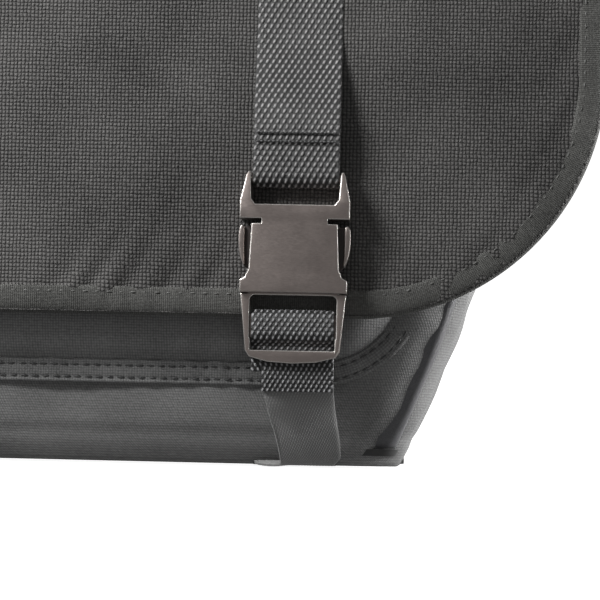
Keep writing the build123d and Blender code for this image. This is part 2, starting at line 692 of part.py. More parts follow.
ring_tilt = Vector(0, BACK_CURVE[0][1] - RING_TOP_Z, RING_TOP_Y - RING_Y) * -1
ring_plane = Plane(
    origin=(-SHOULDER_X, (RING_Y + RING_TOP_Y) / 2, (BACK_CURVE[0][1] + RING_TOP_Z) / 2),
    x_dir=(1, 0, 0), z_dir=ring_tilt,
)
RING_BAR = 3.8
RING_PITCH = 11.2
with BuildPart() as strap_ring:
    with BuildSketch(ring_plane):
        RectangleRounded(2 * SHOULDER_HALF + 2 * RING_BAR + 1.4, RING_PITCH + RING_BAR, 2.6)
        RectangleRounded(2 * SHOULDER_HALF + 1.4, RING_PITCH - RING_BAR, 0.8, mode=Mode.SUBTRACT)
    extrude(amount=RING_BAR / 2, both=True)
    fillet(strap_ring.edges(), 0.7)
save(strap_ring.part, "strap_ring")

# length slider: two bars in front of the strap and a centre bar behind it
SLIDER_BARS = 11.0
slider_face = Plane(origin=(-SHOULDER_X, BACK_CURVE[-1][0], SLIDER_Z), x_dir=(1, 0, 0), z_dir=(0, 1, 0))
with BuildPart() as strap_slider:
    with BuildSketch(slider_face.offset(-2.7)):
        with Locations((-SHOULDER_HALF - 2.2, 0), (SHOULDER_HALF + 2.2, 0)):
            RectangleRounded(3.4, 2 * SLIDER_BARS + 4, 1)
        Rectangle(2 * SHOULDER_HALF + 4, 4.4)
    extrude(amount=1.6)
    with BuildSketch(slider_face.offset(-1.2)):
        with Locations((-SHOULDER_HALF - 2.2, 0), (SHOULDER_HALF + 2.2, 0)):
            RectangleRounded(3.4, 2 * SLIDER_BARS + 4, 1)
    extrude(amount=5.6)
    with BuildSketch(slider_face.offset(2.4)):
        with Locations((0, -SLIDER_BARS), (0, SLIDER_BARS)):
            Rectangle(2 * SHOULDER_HALF + 4, 4.0)
    extrude(amount=2.0)
save(strap_slider.part, "strap_slider")

with BuildPart() as strap_end_loop:
    with BuildSketch(Plane.YZ.offset(-SHOULDER_X)):
        with Locations((BACK_CURVE[-1][0] - 1.95, SLIDER_Z)):
            RectangleRounded(4.5, 7.5, 2.0)
            RectangleRounded(1.9, 4.8, 0.2, mode=Mode.SUBTRACT)
    extrude(amount=SHOULDER_HALF - 0.2, both=True)
save(strap_end_loop.part, "strap_end_loop")
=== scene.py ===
from math import cos, pi, radians, sin, sqrt

import bmesh
import bpy
import numpy as np
from mathutils import Matrix, Vector
from mathutils.bvhtree import BVHTree


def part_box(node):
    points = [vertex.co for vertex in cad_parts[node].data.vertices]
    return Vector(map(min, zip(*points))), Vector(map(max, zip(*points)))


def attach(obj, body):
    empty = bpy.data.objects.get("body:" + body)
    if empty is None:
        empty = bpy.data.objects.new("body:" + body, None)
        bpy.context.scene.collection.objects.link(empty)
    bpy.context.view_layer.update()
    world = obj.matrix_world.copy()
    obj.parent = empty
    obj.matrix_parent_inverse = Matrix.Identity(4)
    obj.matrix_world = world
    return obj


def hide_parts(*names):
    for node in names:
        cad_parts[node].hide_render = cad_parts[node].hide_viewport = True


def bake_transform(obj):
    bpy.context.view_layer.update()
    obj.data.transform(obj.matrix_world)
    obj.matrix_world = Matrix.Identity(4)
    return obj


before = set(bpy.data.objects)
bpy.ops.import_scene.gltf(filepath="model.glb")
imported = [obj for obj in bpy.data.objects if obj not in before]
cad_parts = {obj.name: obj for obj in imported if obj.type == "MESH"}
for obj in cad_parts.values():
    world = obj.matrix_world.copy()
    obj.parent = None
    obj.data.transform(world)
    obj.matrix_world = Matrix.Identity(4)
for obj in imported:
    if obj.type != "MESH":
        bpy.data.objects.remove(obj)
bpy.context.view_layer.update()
MM = 0.001
scene = bpy.context.scene
scene.view_settings.view_transform = "Standard"

# ---- sizes shared with the CAD model, in millimetres ----
STRAP_X = 100.0
WEBBING = 25.4
WEB_PLY = 1.5
BUCKLE_Y = -79.0
BAR_Y, BAR_Z = -78.0, 83.4
BAR_RADIUS = 1.35
FLAP_RADIUS = 72.0
FLAP_THICK = 2.1
BINDING = 7.3
POCKET_RADIUS = 27.0
POCKET_BAND = 6.0
STITCH_LINES = (1.2, 4.8)
SHOULDER_HALF = 19.0
STITCH_PITCH = 3.5
SLANT = 0.35


def low(node):
    """A node's lowest corner in millimetres."""
    return np.array(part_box(node)[0]) / MM


def high(node):
    """A node's highest corner in millimetres."""
    return np.array(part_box(node)[1]) / MM


class Skin:
    """Finds where a ray meets a set of CAD nodes, in millimetres."""

    def __init__(self, *nodes):
        self.trees = []
        for node in nodes:
            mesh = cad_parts[node].data
            points = [v.co / MM for v in mesh.vertices]
            faces = [tuple(p.vertices) for p in mesh.polygons]
            self.trees.append(BVHTree.FromPolygons(points, faces))

    def hit(self, start, along):
        best = None
        for tree in self.trees:
            point, _, _, distance = tree.ray_cast(Vector(start), Vector(along))
            if point is not None and (best is None or distance < best[1]):
                best = (point, distance)
        return None if best is None else best[0]


# ---- mesh helpers ----
def link(obj):
    scene.collection.objects.link(obj)
    return obj


def mesh_from(name, points, faces, uv=None, smooth=True):
    """A mesh object from points in millimetres, with its UV map in millimetres too."""
    mesh = bpy.data.meshes.new(name)
    mesh.from_pydata((np.asarray(points) * MM).tolist(), [], faces)
    if uv is not None:
        layer = mesh.uv_layers.new(name="cloth")
        corner = np.empty(len(mesh.loops), dtype=np.int32)
        mesh.loops.foreach_get("vertex_index", corner)
        layer.data.foreach_set("uv", np.asarray(uv, dtype=np.float32)[corner].ravel())
    mesh.polygons.foreach_set("use_smooth", [smooth] * len(mesh.polygons))
    mesh.update()
    return link(bpy.data.objects.new(name, mesh))


def grid_normals(p, wrap=False):
    """Unit normals of a grid of points."""
    du = np.gradient(p, axis=1)
    if wrap:
        du = (np.roll(p, -1, axis=1) - np.roll(p, 1, axis=1)) / 2
    dv = np.gradient(p, axis=0)
    n = np.cross(du, dv)
    length = np.linalg.norm(n, axis=2, keepdims=True)
    return n / np.maximum(length, 1e-9)


def grid_faces(rows, columns, wrap=False, first=0, flip=False):
    """Quads over a grid whose points are numbered row by row."""
    faces = []
    last = columns if wrap else columns - 1
    for i in range(rows - 1):
        for j in range(last):
            k = (j + 1) % columns
            quad = (first + i * columns + j, first + i * columns + k,
                    first + (i + 1) * columns + k, first + (i + 1) * columns + j)
            faces.append(quad[::-1] if flip else quad)
    return faces


def sheet_from(name, p, uv, thickness, flip=False):
    """A closed sheet: the grid p, a copy moved back by thickness, and its rim."""
    rows, columns = p.shape[:2]
    n = grid_normals(p) * (-1 if flip else 1)
    back = p - n * thickness
    points = np.concatenate([p.reshape(-1, 3), back.reshape(-1, 3)])
    count = rows * columns
    faces = grid_faces(rows, columns, flip=flip) + grid_faces(rows, columns, first=count, flip=not flip)
    rim = [j for j in range(columns)] + [i * columns + columns - 1 for i in range(1, rows)]
    rim += [(rows - 1) * columns + j for j in range(columns - 2, -1, -1)]
    rim += [i * columns for i in range(rows - 2, 0, -1)]
    for a, b in zip(rim, rim[1:] + rim[:1]):
        quad = (b, a, a + count, b + count)
        faces.append(quad[::-1] if flip else quad)
    uvs = np.concatenate([uv.reshape(-1, 2), uv.reshape(-1, 2)])
    return mesh_from(name, points, faces, uvs)


def tube_from(name, p, uv=None):
    """A closed solid from rings of points: p is ring, point in the ring, xyz."""
    rows, columns = p.shape[:2]
    points = list(p.reshape(-1, 3))
    faces = grid_faces(rows, columns, wrap=True)
    faces.append(tuple(range(columns - 1, -1, -1)))
    faces.append(tuple((rows - 1) * columns + j for j in range(columns)))
    return mesh_from(name, points, faces, None if uv is None else uv.reshape(-1, 2))


def waves(u, v, size, seed, count=14):
    """Smooth uneven relief, about -1 to 1, made of crossing waves of about one size."""
    random = np.random.default_rng(seed)
    total = np.zeros(np.broadcast(u, v).shape)
    for _ in range(count):
        angle = random.uniform(0, 2 * pi)
        length = size * random.uniform(0.6, 1.7)
        phase = random.uniform(0, 2 * pi)
        total = total + np.sin((u * cos(angle) + v * sin(angle)) * 2 * pi / length + phase)
    return total / sqrt(count) / 1.2


def pucker(along, inward, pitch, depth, seed):
    """Small gathers beside a seam: along it they come and go, and they fade inward."""
    beat = 0.55 + 0.45 * waves(along, 0 * along, pitch * 7, seed, 6)
    swing = np.sin(along * 2 * pi / pitch + 1.6 * waves(along, 0 * along, pitch * 4, seed + 1, 6))
    return beat * swing * np.exp(-np.abs(inward) / (pitch * 0.9)) * depth


def distances(path):
    """How far along a polyline each of its points is."""
    return np.r_[0, np.cumsum(np.linalg.norm(np.diff(path, axis=0), axis=1))]


def directions(path):
    """Unit vectors along a polyline at its points."""
    along = np.gradient(path, axis=0)
    return along / np.linalg.norm(along, axis=1, keepdims=True)


def ease(t):
    """A smooth step from 0 to 1."""
    return t * t * (3 - 2 * t)


def resample(path, step):
    """Points at an even spacing along a polyline, with their distances from its start."""
    path = np.asarray(path, dtype=float)
    run = distances(path)
    count = max(2, int(round(run[-1] / step)) + 1)
    at = np.linspace(0, run[-1], count)
    return np.stack([np.interp(at, run, path[:, i]) for i in range(path.shape[1])], axis=1), at


def smoothed(path, passes):
    """A polyline with its corners softened and its ends kept."""
    path = np.asarray(path, dtype=float).copy()
    for _ in range(passes):
        path[1:-1] = (path[:-2] + 2 * path[1:-1] + path[2:]) / 4
    return path


def softened(path, step, passes):
    """A polyline resampled at a spacing, with its corners softened."""
    return smoothed(resample(path, step)[0], passes)


def arc(center, radius, start, end, count=12):
    """Points on a circle in the YZ plane, with angles in degrees from +Y towards +Z."""
    return [
        (center[0] + radius * cos(radians(a)), center[1] + radius * sin(radians(a)))
        for a in np.linspace(start, end, count)
    ]


# ---- materials ----
class Shader:
    """A material's node tree with short ways to add and join nodes."""

    def __init__(self, name):
        self.material = bpy.data.materials.new(name)
        self.material.use_nodes = True
        self.tree = self.material.node_tree
        self.base = self.tree.nodes["Principled BSDF"]

    def node(self, kind, **values):
        made = self.tree.nodes.new(kind)
        for key, value in values.items():
            setattr(made, key, value)
        return made

    def join(self, out, into):
        self.tree.links.new(out, into)

    def math(self, operation, a, b=None, clamp=False):
        made = self.node("ShaderNodeMath", operation=operation, use_clamp=clamp)
        for i, value in enumerate((a, b)):
            if value is None:
                continue
            if isinstance(value, (int, float)):
                made.inputs[i].default_value = value
            else:
                self.join(value, made.inputs[i])
        return made.outputs[0]

    def add(self, a, b, clamp=False):
        return self.math("ADD", a, b, clamp)

    def sub(self, a, b):
        return self.math("SUBTRACT", a, b)

    def mul(self, a, b, clamp=False):
        return self.math("MULTIPLY", a, b, clamp)

    def set(self, **values):
        """Plain values on the shader's own sockets; an underscore stands for a space in a socket's name."""
        for key, value in values.items():
            self.base.inputs[key.replace("_", " ")].default_value = value

    def noise(self, vector, size, detail=3.0):
        """Noise whose features are about size millimetres."""
        made = self.node("ShaderNodeTexNoise")
        made.inputs["Scale"].default_value = 1 / size
        made.inputs["Detail"].default_value = detail
        self.join(vector, made.inputs["Vector"])
        return made.outputs["Fac"]

    def millimetres(self):
        """Object coordinates in millimetres."""
        place = self.node("ShaderNodeTexCoord").outputs["Object"]
        made = self.node("ShaderNodeVectorMath", operation="SCALE")
        made.inputs["Scale"].default_value = 1000.0
        self.join(place, made.inputs[0])
        return made.outputs[0]

    def mix(self, factor, a, b):
        made = self.node("ShaderNodeMix", data_type="RGBA")
        self.join(factor, made.inputs["Factor"])
        for socket, value in (("A", a), ("B", b)):
            into = [i for i in made.inputs if i.name == socket and i.type == "RGBA"][0]
            if isinstance(value, tuple):
                into.default_value = (*value, 1)
            else:
                self.join(value, into)
        return [o for o in made.outputs if o.type == "RGBA"][0]

    def bump(self, height, distance, strength=1.0, normal=None):
        made = self.node("ShaderNodeBump")
        made.inputs["Distance"].default_value = distance * MM
        made.inputs["Strength"].default_value = strength
        self.join(height, made.inputs["Height"])
        if normal is not None:
            self.join(normal, made.inputs["Normal"])
        return made.outputs["Normal"]


def cloth_material(name, dark, light, pitch, relief, roughness=0.85, sheen=0.25, rows=1.0):
    """Plain-weave cloth: threads cross over and under at pitch, with slubs and faded patches; the raised
    threads are painted lighter as highlight and the hollows between them darker as painted shade.
    """
    s = Shader(name)
    uv = s.node("ShaderNodeUVMap", uv_map="cloth").outputs[0]
    parts = s.node("ShaderNodeSeparateXYZ")
    s.join(uv, parts.inputs[0])
    wobble = s.mul(s.noise(uv, 3.0, 3.0), 2.2)
    u = s.add(s.mul(parts.outputs[0], pi / pitch), wobble)
    v = s.add(s.mul(parts.outputs[1], pi / pitch / rows), wobble)
    across = s.math("SINE", u)
    down = s.math("SINE", v)
    cross = s.mul(across, down)
    over = s.math("GREATER_THAN", cross, 0.0)
    thread = s.math("POWER", s.math("ABSOLUTE", cross), 0.55)
    warp = s.math("POWER", s.math("ABSOLUTE", across), 0.5)
    height = s.add(thread, s.mul(s.mul(over, warp), 0.25))
    fibre = s.noise(uv, 0.22, 2.0)
    height = s.add(height, s.mul(fibre, 0.5))
    patch = s.noise(uv, 38.0, 4.0)
    slub = s.noise(uv, 1.6, 2.0)
    # painted highlight and shade: thread height lightens the raised threads and darkens the hollows between
    # them; slubs add real tone
    tone = s.add(s.mul(thread, 0.55), s.mul(slub, 0.30))
    tone = s.mul(tone, s.add(0.45, s.mul(s.noise(uv, 0.8, 1.0), 1.1)))
    tone = s.add(tone, s.mul(s.sub(patch, 0.5), 0.7), clamp=True)
    s.join(s.mix(tone, dark, light), s.base.inputs["Base Color"])
    s.join(s.bump(height, relief), s.base.inputs["Normal"])
    s.set(Roughness=roughness, Specular_IOR_Level=0.3, Sheen_Weight=sheen, Sheen_Roughness=0.4,
          Sheen_Tint=(0.8, 0.8, 0.82, 1))
    return s.material


def webbing_material(name, dark, light, pitch_u, pitch_v):
    """Nylon webbing: painted highlight on the slanted crowns of the yarns, painted shade in the hollows
    between them, and fine fibres.
    """
    s = Shader(name)
    uv = s.node("ShaderNodeUVMap", uv_map="cloth").outputs[0]
    parts = s.node("ShaderNodeSeparateXYZ")
    s.join(uv, parts.inputs[0])
    row = s.sub(s.math("FLOORED_MODULO", parts.outputs[1], pitch_v), pitch_v / 2)
    leant = s.add(parts.outputs[0], s.mul(row, SLANT))
    across = s.math("SINE", s.mul(leant, pi / pitch_u))
    down = s.math("SINE", s.mul(parts.outputs[1], pi / pitch_v))
    cross = s.mul(across, down)
    crown = s.math("POWER", s.math("MAXIMUM", cross, 0.0), 1.1)
    fibre = s.noise(uv, 0.3, 2.0)
    worn = s.noise(uv, 9.0, 3.0)
    # painted highlight and shade: the yarn crowns take the light colour and the hollows the near-black dark;
    # fibres and worn patches add real tone
    tone = s.mul(crown, s.add(0.35, s.mul(fibre, 0.7)))
    tone = s.mul(tone, s.add(0.55, worn), clamp=True)
    s.join(s.mix(tone, dark, light), s.base.inputs["Base Color"])
    lengthwise = s.mul(parts.outputs[1], 5.0)
    strand = s.math("SINE", s.add(s.mul(leant, 16.0), lengthwise))
    height = s.add(s.mul(strand, 0.35), fibre)
    s.join(s.bump(height, 0.08), s.base.inputs["Normal"])
    s.set(Roughness=0.5, Specular_IOR_Level=0.45, Sheen_Weight=0.15)
    return s.material


def thread_material(name, colour):
    """Twisted sewing thread."""
    s = Shader(name)
    place = s.millimetres()
    twist = s.noise(place, 0.35, 1.0)
    lighter = tuple(min(1, c * 1.8) for c in colour)
    s.join(s.mix(twist, colour, lighter), s.base.inputs["Base Color"])
    s.join(s.bump(twist, 0.05), s.base.inputs["Normal"])
    s.set(Roughness=0.55)
    return s.material


def metal_material(name, dark, light, worn, roughness):
    """Satin gunmetal: fine brushing, cloudy plating, small scratches, and bright edges that are partly worn
    plating and partly painted highlight.
    """
    s = Shader(name)
    place = s.millimetres()
    stretch = s.node("ShaderNodeMapping")
    stretch.inputs["Scale"].default_value = (0.12, 1.0, 1.0)
    s.join(place, stretch.inputs["Vector"])
    brush = s.noise(stretch.outputs[0], 0.12, 3.0)
    cloud = s.noise(place, 6.0, 4.0)
    speck = s.noise(place, 0.5, 4.0)
    rounded = s.node("ShaderNodeBevel", samples=6)
    rounded.inputs["Radius"].default_value = 0.55 * MM
    shape = s.node("ShaderNodeNewGeometry")
    same = s.node("ShaderNodeVectorMath", operation="DOT_PRODUCT")
    s.join(rounded.outputs[0], same.inputs[0])
    s.join(shape.outputs["Normal"], same.inputs[1])
    # edge mask: every rounded edge is lightened towards the worn colour, partly as rubbed plating and partly
    # as a painted highlight on the edges
    edge = s.mul(s.sub(1.0, same.outputs["Value"]), 9.0, clamp=True)
    edge = s.mul(edge, s.add(0.45, speck), clamp=True)
    tone = s.add(s.mul(cloud, 0.7), s.mul(brush, 0.45), clamp=True)
    body = s.mix(tone, dark, light)
    s.join(s.mix(edge, body, worn), s.base.inputs["Base Color"])
    s.set(Metallic=1.0)
    rough = s.add(roughness - 0.12, s.mul(brush, 0.24))
    s.join(s.sub(rough, s.mul(edge, 0.08)), s.base.inputs["Roughness"])
    s.join(s.bump(brush, 0.012, normal=rounded.outputs[0]), s.base.inputs["Normal"])
    return s.material


def plastic_material(name, dark, light, roughness):
    """Moulded plastic with a fine grain."""
    s = Shader(name)
    place = s.millimetres()
    grain = s.noise(place, 0.35, 3.0)
    cloud = s.noise(place, 9.0, 3.0)
    s.join(s.mix(cloud, dark, light), s.base.inputs["Base Color"])
    s.join(s.bump(grain, 0.03), s.base.inputs["Normal"])
    s.join(s.add(roughness, s.mul(grain, 0.15)), s.base.inputs["Roughness"])
    return s.material


PITCH_U, PITCH_V = 0.92, 1.55
ROLL_U, ROLL_V = 0.86, 1.24
FINE_U, FINE_V = 0.55, 0.8
WIDE_PITCH, WIDE_ROW = 1.5, 1.2
# painted shade: the flap cloth's near-black dark is the shade in the weave's hollows
flap_cloth = cloth_material("flap_cloth", (0.0015, 0.0015, 0.0015), (0.145, 0.141, 0.137), 1.1, 0.38,
                            sheen=0.05)
# painted light: the body cloth's tones are raised to stand for the light the white floor throws up on the
# lower body
body_cloth_painted_lit = cloth_material("body_cloth_painted_lit", (0.07, 0.07, 0.07), (0.24, 0.24, 0.237), 0.8, 0.08, sheen=0.05)
tape_cloth = cloth_material("tape_cloth", (0.012, 0.012, 0.011), (0.14, 0.14, 0.132), 0.6, 0.12, 0.8,
                            0.08, 0.7)
lining_cloth = cloth_material("lining_cloth", (0.06, 0.06, 0.064), (0.13, 0.13, 0.136), 0.35, 0.04, 0.5, 0.1)
# painted shade: the near-black darks of these webbings are the shade in the yarn hollows
roll_nylon = webbing_material("roll_nylon", (0.001, 0.001, 0.001), (0.42, 0.42, 0.43), ROLL_U, ROLL_V)
fine_nylon = webbing_material("fine_nylon", (0.13, 0.13, 0.128), (0.25, 0.25, 0.246), FINE_U, FINE_V)
web_nylon = webbing_material("web_nylon", (0.001, 0.001, 0.001), (0.42, 0.41, 0.41), PITCH_U, PITCH_V)
wide_nylon = webbing_material("wide_nylon", (0.006, 0.006, 0.006), (0.08, 0.08, 0.083), WIDE_PITCH, WIDE_ROW)
thread = thread_material("thread", (0.055, 0.055, 0.052))
dark_thread = thread_material("dark_thread", (0.035, 0.035, 0.035))
gunmetal = metal_material("gunmetal", (0.15, 0.128, 0.12), (0.34, 0.295, 0.275), (0.85, 0.84, 0.80), 0.40)
# painted shade: a near-black brown for the arm's leaf, standing for the shade inside the socket's window
painted_window_shade = plastic_material("painted_window_shade", (0.010, 0.006, 0.005), (0.022, 0.014, 0.011), 0.5)
dark_metal = metal_material("dark_metal", (0.06, 0.056, 0.053), (0.12, 0.115, 0.11), (0.45, 0.45, 0.44), 0.42)
coil_plastic = plastic_material("coil_plastic", (0.012, 0.012, 0.012), (0.025, 0.025, 0.025), 0.35)
board_plastic = plastic_material("board_plastic", (0.02, 0.02, 0.02), (0.04, 0.04, 0.04), 0.6)


def finish_piece(obj, material, body, slot, *nodes):
    """Give a piece its material, its body and the CAD nodes that it stands for, which it hides; the slot is
    not used.
    """
    obj.data.materials.clear()
    obj.data.materials.append(material)
    if body is not None:
        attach(obj, body)
    if nodes:
        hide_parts(*nodes)
    return obj


# ---- stitches ----
def stitch_rows(name, rows, body, pitch=STITCH_PITCH, length=2.5, radius=0.26, material=None, seed=3):
    """Raised stitches along paths; each row is points and the surface normals at them."""
    sides, rings = 6, 5
    random = np.random.default_rng(seed)
    points, faces = [], []
    for path, normals in rows:
        path, normals = np.asarray(path, float), np.asarray(normals, float)
        run = distances(path)
        at = pitch / 2
        while at < run[-1] - length / 2:
            def spot(d, table):
                return np.array([np.interp(d, run, table[:, i]) for i in range(3)])
            middle = at + random.uniform(-0.12, 0.12)
            first = len(points)
            for k in range(rings):
                t = k / (rings - 1) - 0.5
                here = spot(middle + t * length, path)
                up = spot(middle, normals)
                up = up / np.linalg.norm(up)
                along = spot(middle + 0.3, path) - spot(middle - 0.3, path)
                along = along / max(np.linalg.norm(along), 1e-9)
                side = np.cross(up, along)
                lift = radius * (0.75 - 5.2 * t * t)
                girth = radius * sqrt(max(0.12, 1 - (1.75 * t) ** 2))
                for j in range(sides):
                    a = 2 * pi * j / sides
                    points.append(here + side * girth * cos(a) + up * (lift + girth * sin(a)))
            faces += grid_faces(rings, sides, wrap=True, first=first)
            faces.append(tuple(first + j for j in range(sides - 1, -1, -1)))
            faces.append(tuple(first + (rings - 1) * sides + j for j in range(sides)))
            at += pitch
    obj = mesh_from(name, points, faces)
    return finish_piece(obj, material or thread, body, "binding_tape")


# ---- webbing ----
def weave(u, v, pitch_u, pitch_v, hollow):
    """The height of a woven face: crowns at every other crossing, low hollows between them."""
    cross = np.sin(pi * u / pitch_u) * np.sin(pi * v / pitch_v)
    return np.where(cross > 0, 1, hollow) * np.abs(cross) ** 0.6


def webbing_strip(name, centre, side, normal, width, ply, pitch_u, pitch_v, depth, fine=True):
    """A woven strap along a path: centre points, across direction and face normal at each point."""
    centre, side, normal = (np.asarray(a, float) for a in (centre, side, normal))
    run = distances(centre)
    columns = int(width / pitch_u * (4.2 if fine else 3)) + 1
    across = np.linspace(-width / 2, width / 2, columns)
    u, v = np.meshgrid(across, run)
    edge = np.clip((width / 2 - np.abs(u)) / 1.1, 0, 1)
    row = np.mod(v, pitch_v) - pitch_v / 2
    crown = weave(u + width / 2 + SLANT * row, v, pitch_u, pitch_v, 0.15)
    selvage = 0.45 * np.abs(np.sin(pi * v / pitch_v)) ** 0.7
    relief = depth * (crown * edge + selvage * (1 - edge))
    half = ply / 2 * (0.72 + 0.28 * edge ** 0.5) - depth * 0.5
    uneven = 0.10 * waves(u, v, 16, len(name) + 5)

    def face(sign):
        return (centre[:, None, :] + side[:, None, :] * u[..., None]
                + normal[:, None, :] * ((sign * (half + relief)) + uneven)[..., None])
    front, back = face(1), face(-1)
    ring = np.concatenate([front, back[:, ::-1]], axis=1)
    uvs = np.stack([u + width / 2, v], axis=2)
    uv_ring = np.concatenate([uvs, uvs[:, ::-1]], axis=1)
    return tube_from(name, ring, uv_ring)


def strap_along(name, x, path, width, ply, pitch_u, pitch_v, depth, fine=True, lean=None, step=None):
    """Webbing whose middle line is a list of (y, z) at a fixed x, facing out to its left-hand side."""
    flat, run = resample(path, step or pitch_v / (4.6 if fine else 4))
    tangent = directions(flat)
    count = len(flat)
    centre = np.stack([np.full(count, x), flat[:, 0], flat[:, 1]], axis=1)
    side = np.tile([1.0, 0.0, 0.0], (count, 1))
    normal = np.stack([np.zeros(count), tangent[:, 1], -tangent[:, 0]], axis=1)
    if lean is not None:
        shift, turn, narrow = lean(run / run[-1])
        centre[:, 0] += shift
        along = np.stack([np.zeros(count), tangent[:, 0], tangent[:, 1]], axis=1)
        rotated = side * np.cos(turn)[:, None] + normal * np.sin(turn)[:, None]
        normal = np.cross(rotated, along) * -1
        side = rotated * narrow[:, None]
    return webbing_strip(name, centre, side, normal, width, ply, pitch_u, pitch_v, depth, fine)


# ---- camera and lights ----
AZIMUTH, ELEVATION, ROLL = radians(-3.0), radians(-3.1), radians(1.3)
DISTANCE, LENS = 766 * MM, 158.7
target = Vector((101.9, BUCKLE_Y, 48.2)) * MM
look = Vector((sin(AZIMUTH) * cos(ELEVATION), cos(AZIMUTH) * cos(ELEVATION), -sin(ELEVATION)))
right = look.cross(Vector((0, 0, 1))).normalized()
up = right.cross(look)
right, up = right * cos(ROLL) + up * sin(ROLL), up * cos(ROLL) - right * sin(ROLL)
camera_data = bpy.data.cameras.new("camera")
camera_data.lens = LENS
camera_data.clip_start = 0.01
camera = link(bpy.data.objects.new("camera", camera_data))
turned = Matrix((right, up, -look)).transposed().to_4x4()
camera.matrix_world = Matrix.Translation(target - look * DISTANCE) @ turned
scene.camera = camera

world = bpy.data.worlds.new("studio")
scene.world = world
world.use_nodes = True
world.node_tree.nodes["Background"].inputs["Color"].default_value = (1.0, 1.0, 1.0, 1)
world.node_tree.nodes["Background"].inputs["Strength"].default_value = 0.3


def area_light(name, place, aim, size, power):
    data = bpy.data.lights.new(name, "AREA")
    data.shape = "RECTANGLE"
    data.size, data.size_y = size
    data.energy = power
    lamp = link(bpy.data.objects.new(name, data))
    lamp.location = place
    lamp.rotation_euler = (Vector(aim) - Vector(place)).to_track_quat("-Z", "Y").to_euler()


area_light("key", (-0.30, -0.34, 0.40), (0.03, -0.07, 0.12), (0.20, 0.20), 6)
area_light("side", (0.80, 0.10, 0.22), (0.14, 0.0, 0.03), (0.4, 0.5), 14)
area_light("top", (0.1, 0.25, 1.1), (0.05, 0.0, 0.1), (1.0, 0.8), 4)


def white_sheet(name, corners, glow):
    """A glowing white studio surface that doesn't throw its light back on the bag."""
    mesh = bpy.data.meshes.new(name)
    mesh.from_pydata(corners, [], [(0, 1, 2, 3)])
    surface = link(bpy.data.objects.new(name, mesh))
    shader = Shader(name + "_white")
    shader.set(Base_Color=(0.5, 0.5, 0.5, 1), Roughness=0.9, Emission_Color=(1, 1, 1, 1),
               Emission_Strength=glow)
    mesh.materials.append(shader.material)
    surface.visible_diffuse = False
    surface.visible_glossy = False


FLOOR_Z = -0.0006
white_sheet("floor", [(-4, -4, FLOOR_Z), (4, -4, FLOOR_Z), (4, 3, FLOOR_Z), (-4, 3, FLOOR_Z)], 0.93)
white_sheet("backdrop", [(-4, 3, -0.1), (4, 3, -0.1), (4, 3, 4), (-4, 3, 4)], 1.0)

# ---- the body's form, measured on the CAD panels ----
body_skin = Skin("front_panel", "back_panel", "gusset_left", "gusset_right", "base_panel")
BODY_TOP = high("front_panel")[2]
heights = np.r_[0.3, 1.5, 3, 5, 8, np.arange(12, BODY_TOP - 1, 6.0), BODY_TOP - 0.4]
half_widths = np.array([body_skin.hit((400, 0, z), (-1, 0, 0)).x for z in heights])
half_depths = np.array([-body_skin.hit((0, -400, z), (0, 1, 0)).y for z in heights])


def half_width(z):
    return np.interp(z, heights, half_widths)


def half_depth(z):
    return np.interp(z, heights, half_depths)


SEAM_RADIUS = 16.0
FLOOR_RINGS = 5


def front_drop(x, z):
    """How far the rounded corner falls back from the front panel's plane."""
    past = np.clip(np.abs(x) - (half_width(z) - SEAM_RADIUS), 0, SEAM_RADIUS * 0.98)
    return SEAM_RADIUS - np.sqrt(SEAM_RADIUS**2 - past**2)


def perimeter(z, inset, count_x, count_y, radius):
    """Points round the body at one height, starting at the front left, with outward normals."""
    w, d = half_width(z) - inset, half_depth(z) - inset
    r = max(radius - inset, 1.0)
    corner = 7
    points, normals = [], []
    sides = (((-w + r, -d), (w - r, -d), (0, -1), count_x), ((w, -d + r), (w, d - r), (1, 0), count_y),
             ((w - r, d), (-w + r, d), (0, 1), count_x), ((-w, d - r), (-w, -d + r), (-1, 0), count_y))
    for k, (a, b, n, count) in enumerate(sides):
        for t in np.linspace(0, 1, count):
            points.append((a[0] + (b[0] - a[0]) * t, a[1] + (b[1] - a[1]) * t))
            normals.append(n)
        middle = ((w - r, -d + r), (w - r, d - r), (-w + r, d - r), (-w + r, -d + r))[k]
        for t in np.linspace(0, 1, corner + 2)[1:-1]:
            a2 = (k - 1) * pi / 2 + t * pi / 2
            normal = (cos(a2), sin(a2))
            points.append((middle[0] + r * normal[0], middle[1] + r * normal[1]))
            normals.append(normal)
    return np.array(points), np.array(normals)


def body_tub(inset, bottom, top, radius, relief, step=3.0):
    """The body or its lining: rings up the walls and a floor that closes them, with cloth relief."""
    levels = np.r_[np.arange(bottom, 18, 1.5), np.arange(18, top, step), top]
    rings, uv, outward = [], [], []
    for z in levels:
        boxed = radius + 7.0 * np.exp(-z / 5.0)
        p, n = perimeter(z, inset, 90, 30, boxed)
        run = distances(p)
        rings.append(np.c_[p, np.full(len(p), z)])
        outward.append(np.c_[n, np.zeros(len(n))])
        uv.append(np.c_[run, np.full(len(p), z)])
    p, n, uv = np.array(rings), np.array(outward), np.array(uv)
    p = p + n * relief(p, n)[..., None]
    # the floor is the lowest ring drawn in to the middle
    floor_rings = [p[0] * [s, s, 0] + [0, 0, bottom] for s in (0.02, 0.3, 0.6, 0.85, 0.96)]
    floor_uv = [r[:, :2] for r in floor_rings]
    p = np.concatenate([np.array(floor_rings), p])
    uv = np.concatenate([np.array(floor_uv), uv])
    return p, uv


